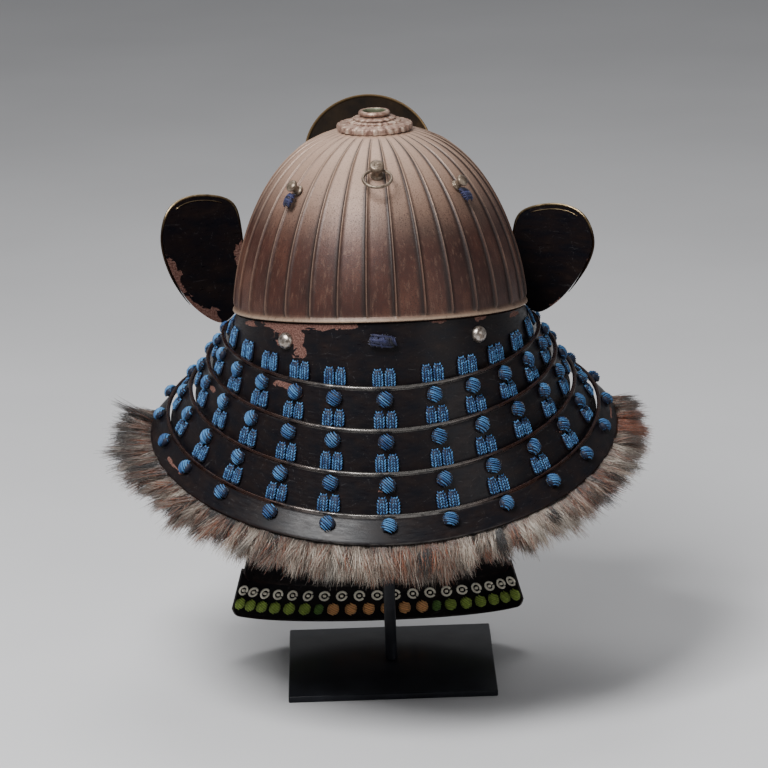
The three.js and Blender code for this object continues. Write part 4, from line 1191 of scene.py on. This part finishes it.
FUR = {"end": 102.0, "length": 33.0, "root": 4.4, "locks": 380, "strands": 84, "parts": 38.0,
       "thick": 0.4, "lock_width": 2.6, "sway": 0.2, "droop": 9, "tone": 0.56, "tone_spread": 0.15,
       "mixed": 0.2}
# Each row is read at the angles of the first one: degrees down, share of the length, how much
# darker, and how dark the tips are.
FUR_AROUND = {"angle": (-102, -90, -60, -30, 0, 30, 60, 80, 90, 102),
              "droop": (10, 6, 16, 42, 52, 42, 16, 4, 0, -6),
              "longer": (0.8, 0.92, 1.05, 1.0, 1.0, 1.0, 1.15, 1.25, 1.2, 1.05),
              "darker": (0.3, 0.1, 0.0, 0.0, 0.0, 0.0, 0.08, 0.2, 0.24, 0.28),
              "dark_tips": (0.9, 0.7, 0.45, 0.2, 0.1, 0.2, 0.4, 0.85, 0.95, 0.9)}
RUSSET_TUFT = {"from": -90.0, "to": -81.0, "tone": 0.24, "mixed": 0.05}


def add_lock(spots, angle):
    """One lock of hairs at an angle of the lowest lame's edge."""
    seat = lame_seat(LAST, angle)
    away = unit(seat.out * (1, 1, 0))
    droop, longer, darker, dark_tips = (np.interp(angle, FUR_AROUND["angle"], FUR_AROUND[row])
                                        for row in ("droop", "longer", "darker", "dark_tips"))
    droop = math.radians(droop + chance.normal(0, FUR["droop"]))
    sway = seat.across * math.tan(chance.normal(0, FUR["sway"]))
    heading = unit(away * math.cos(droop) + sway - np.array([0, 0, math.sin(droop)]))
    depth = chance.uniform(0.0, 1.0)
    reach = FUR["length"] * chance.uniform(0.62, 1.02) * (1 - 0.12 * depth) * longer
    base = seat.at(0, seat.length + 0.2, -LAME["wall"] - 0.6 - depth * FUR["root"])
    count = FUR["strands"]
    roots = base + seat.across * chance.normal(0, FUR["lock_width"], (count, 1))
    roots = roots + seat.out * chance.uniform(-0.9, 0.5, (count, 1))
    roots = roots - seat.down * chance.uniform(0, 3.0, (count, 1))
    spread = chance.normal(0, 1.6, (count, 3)) + chance.normal(0, 3.2, (count, 1)) * seat.across
    along = base + heading * reach + spread - roots
    length = np.linalg.norm(along, axis=1) * chance.uniform(0.66, 1.05, count)
    tone = FUR["tone"] + chance.normal(0, FUR["tone_spread"])
    # Locks rooted deeper in the fringe are darker, a painted shade; one lock in five is darker at random.
    tone = tone - 0.32 * (chance.random() < 0.2) - (0.12 * depth + darker)
    mixed = FUR["mixed"]
    if RUSSET_TUFT["from"] < angle < RUSSET_TUFT["to"]:
        tone, mixed, dark_tips = RUSSET_TUFT["tone"], RUSSET_TUFT["mixed"], 0.0
    tints = np.clip(tone + chance.normal(0, mixed, count), 0, 1)
    thick = np.full(count, FUR["thick"])
    aim = unit(along)
    facing = np.array([0, 0, 1.0]) - aim * aim[:, 2:]
    spots.add(roots, along, facing, np.stack([length, thick, thick], 1), tints,
              np.clip(dark_tips + chance.normal(0, 0.3), 0, 1))


def make_fur():
    """The fur fringe under the lowest lame, in three pieces of clumped hairs."""
    ends = (-FUR["end"], -FUR["parts"], FUR["parts"], FUR["end"])
    for part, (start, stop) in enumerate(zip(ends, ends[1:])):
        spots = Spots()
        locks = int(FUR["locks"] * (stop - start) / (2 * FUR["end"]))
        for lock in range(locks):
            add_lock(spots, start + (stop - start) * (lock + chance.uniform(0.2, 0.8)) / locks)
        piece = spots.repeat(f"fur fringe {part + 1}", HAIR_STRAND, HAIR, 0.05, part + 70)
        if part == 1:
            dress(piece, "white_fur", "fur_fringe")
        else:
            dress(piece, "white_fur")


# ------------------------------------------------------------------ throat guard

# Dye of the lower row's knots from the -X end to the +X end.
CREAM, GREEN, ORANGE, DARK_GREEN = 0.05, 0.35, 0.65, 0.95
LOWER_ROW = [GREEN] * 6 + [DARK_GREEN] + [ORANGE] * 6 + [DARK_GREEN] + [GREEN] * 6


def guard_point(lame, turn, up, out):
    """A point of a throat guard lame, turn -1 to 1 across it."""
    raised = up + lame * GUARD["step"]
    full = math.radians(GUARD["spread"])
    bend = turn * full
    wide = (GUARD["half_width"] - GUARD["taper"] * raised) / math.sin(full)
    deep = GUARD["sweep"] / (1 - math.cos(full))
    inward = unit(np.array([-deep * math.sin(bend), wide * math.cos(bend)]))
    stand = out + (lame - (GUARD["lames"] - 1)) * GUARD["stagger"]
    return np.array([GUARD["x"] + wide * math.sin(bend) + inward[0] * stand,
                     GUARD["y"] + deep * (1 - math.cos(bend)) + inward[1] * stand,
                     GUARD["bottom"] + raised + GUARD["end_rise"] * turn * turn])


def guard_seat(turn, up):
    """The place on the inner face of the throat guard's lowest lame."""
    wall = GUARD["wall"]
    here = guard_point(0, turn, up, wall)
    across = guard_point(0, turn - 0.01, up, wall) - guard_point(0, turn + 0.01, up, wall)
    return Seat(here, across, here - guard_point(0, turn, up + 1, wall))


def make_guard_lame(lame):
    """One row of the throat guard."""
    wall, height = GUARD["wall"], GUARD["height"]
    sections, lays, wear = [], [], []
    for turn in np.linspace(-1, 1, 117):
        trim = GUARD["trim"] * max(0, (abs(turn) - GUARD["trim_from"]) / (1 - GUARD["trim_from"])) ** 1.6
        ups = [trim, trim + 0.5] + list(np.linspace(trim + 2, height - 1.5, 9))
        profile = [(up, 0.0) for up in ups] + [(height - 0.4, 0.15), (height, 0.6), (height, 1.2)]
        profile += [(height - 0.5, wall + 0.2)] + [(up, wall) for up in reversed(ups)]
        sections.append([guard_point(lame, turn, up, out) for up, out in profile])
        lays.append([(turn * 125, up + 60 * lame, out) for up, out in profile])
        wear.append([0.3 if up < trim + 0.6 or up > height - 0.7 else 0.0 for up, out in profile])
    marks = {"wear": wear, "flake": np.zeros(np.shape(wear))}
    node = f"throat_guard_{GUARD['lames'] - lame}"
    dress(loft(node, sections, LACQUER, lay=lays, marks=marks, crease=50), "black_lacquer", node)


def make_throat_guard():
    """The three lames of the throat guard and their rows of knots."""
    for lame in range(GUARD["lames"]):
        make_guard_lame(lame)
    loops, wraps, balls = Spots(), Spots(), Spots()
    for at in range(UPPER_ROW["knots"]):
        seat = guard_seat((2 * at + 1) / UPPER_ROW["knots"] - 1, UPPER_ROW["up"])
        loops.add(seat.at(0, 0, 0.9), seat.across + seat.down * chance.normal(0, 0.4), seat.out,
                  (3.8, 3.5, 3.4), chance.uniform(0.7, 1.0), CREAM)
        balls.add(seat.at(0, 0, 1.0), seat.across, seat.out, (2.6, 2.2, 2.6), 0.9, CREAM)
    shares = np.array([0.7 if dye == DARK_GREEN else 1.0 for dye in LOWER_ROW])
    turns = 2 * (np.cumsum(shares) - shares / 2) / shares.sum() - 1
    for turn, share, dye in zip(turns, shares, LOWER_ROW):
        knot(wraps, balls, guard_seat(turn, LOWER_KNOT["up"]), 0.0, LOWER_KNOT["width"] * share,
             LOWER_KNOT["height"], LOWER_KNOT["tall"], LOWER_KNOT["turns"], dye)
    dress(loops.repeat("guard knots upper", LOOP, DYED, 0.15, 9), "cream_cord", "guard_knots_upper")
    dress(wraps.repeat("guard knots lower", ARC, DYED, 0.06, 10), "green_cord", "guard_knots_lower")
    dress(balls.repeat("guard knots lower hearts", BALL, DYED), "green_cord")


# ------------------------------------------------------------------ stand

def make_stand():
    """The flat base, and the post with its cradle, arm and pad."""
    thickness = STAND["thickness"]
    size = (STAND["width"], STAND["depth"], thickness)
    dress(box_object("stand base", size, (0, 0, thickness / 2), STEEL, 0.9), "black_steel", "stand_base")
    foot = thickness + 0.3
    top = bowl_points(0.85, 180.0)[2]
    radius = STAND["post"]
    profile = [(0, foot), (radius - 0.5, foot), (radius, foot + 0.5), (radius, (foot + top) / 2),
               (radius, top - 0.5), (radius - 0.5, top), (0, top)]
    dress(loft("stand post", turned(profile), STEEL, closed=True), "black_steel", "stand_post")
    inside = -BOWL["wall"] - 0.7
    dish = [bowl_points(rise, np.arange(0, 360, 5.0), inside + offset)
            for rise, offset in ((0.835, -3), (0.8, -3.1), (0.78, -3), (0.78, 0), (0.82, 0), (0.86, 0))]
    dress(loft("bowl cradle", dish, STEEL, crease=50), "black_steel")
    reach = guard_point(GUARD["lames"] - 1, 0, 0, GUARD["wall"])[1] + 1.1
    size = (STAND["arm_width"], -reach, STAND["arm_height"])
    dress(box_object("guard arm", size, (0, reach / 2, STAND["arm_z"]), STEEL, 0.6), "black_steel")
    pad = STAND["pad"]
    dress(box_object("guard pad", pad, (0, reach + pad[1] / 2, STAND["arm_z"]), STEEL, 0.8), "black_steel")


# ------------------------------------------------------------------ stage

# A light's place and size in metres, and its power in watts.
LIGHTS = {"key": ((0.65, 0.95, 1.8), 0.8, 64.0), "fill": ((-1.5, 1.3, 0.8), 1.2, 7.0),
          "top": ((0.1, -0.7, 1.8), 0.9, 12.0)}
LIT_POINT = Vector((0, 0, 0.25))
CAMERA = {"away": 2.9, "pitch": 15.5, "yaw": 0.5, "roll": 1.8, "target": (-0.001, 0.0, 0.227), "lens": 178.4}


def make_stage():
    """The pale floor, the soft lights and the room."""
    bpy.ops.mesh.primitive_plane_add(size=12.0)
    floor = bpy.context.object
    floor.name = "floor"
    floor.data.materials.append(pale_floor())
    world = bpy.data.worlds.new("pale room")
    world.use_nodes = True
    room = world.node_tree.nodes["Background"].inputs
    room["Color"].default_value = (0.86, 0.87, 0.9, 1)
    room["Strength"].default_value = 0.24
    bpy.context.scene.world = world
    for name, (place, size, power) in LIGHTS.items():
        light = bpy.data.lights.new(name, "AREA")
        light.energy = power
        light.size = size
        lamp = new_object(name, light)
        lamp.location = place
        lamp.rotation_euler = (LIT_POINT - Vector(place)).to_track_quat("-Z", "Y").to_euler()


def make_camera():
    """A long lens looking slightly down on the back of the helmet."""
    pitch, yaw, roll = (math.radians(CAMERA[angle]) for angle in ("pitch", "yaw", "roll"))
    target = np.array(CAMERA["target"])
    back = np.array([math.sin(yaw) * math.cos(pitch), math.cos(yaw) * math.cos(pitch), math.sin(pitch)])
    right = np.array([-math.cos(yaw), math.sin(yaw), 0.0])
    up = np.cross(back, right)
    cosine, sine = math.cos(roll), math.sin(roll)
    right, up = cosine * right - sine * up, sine * right + cosine * up
    turn = Matrix([(right[i], up[i], back[i]) for i in range(3)]).to_4x4()
    lens = bpy.data.cameras.new("camera")
    lens.sensor_width = 36.0
    lens.lens = CAMERA["lens"]
    camera = new_object("camera", lens)
    camera.matrix_world = Matrix.Translation(Vector(target + back * CAMERA["away"])) @ turn
    bpy.context.scene.camera = camera


make_bowl()
make_crown()
make_posts()
make_rear_ring()
make_brow()
make_neck_guard()
make_rivets()
make_lacing()
make_fur()
make_throat_guard()
make_stand()
for shape in (ARC, STITCH, BALL, LOOP, HAIR_STRAND):
    bpy.data.objects.remove(shape)
make_stage()
make_camera()
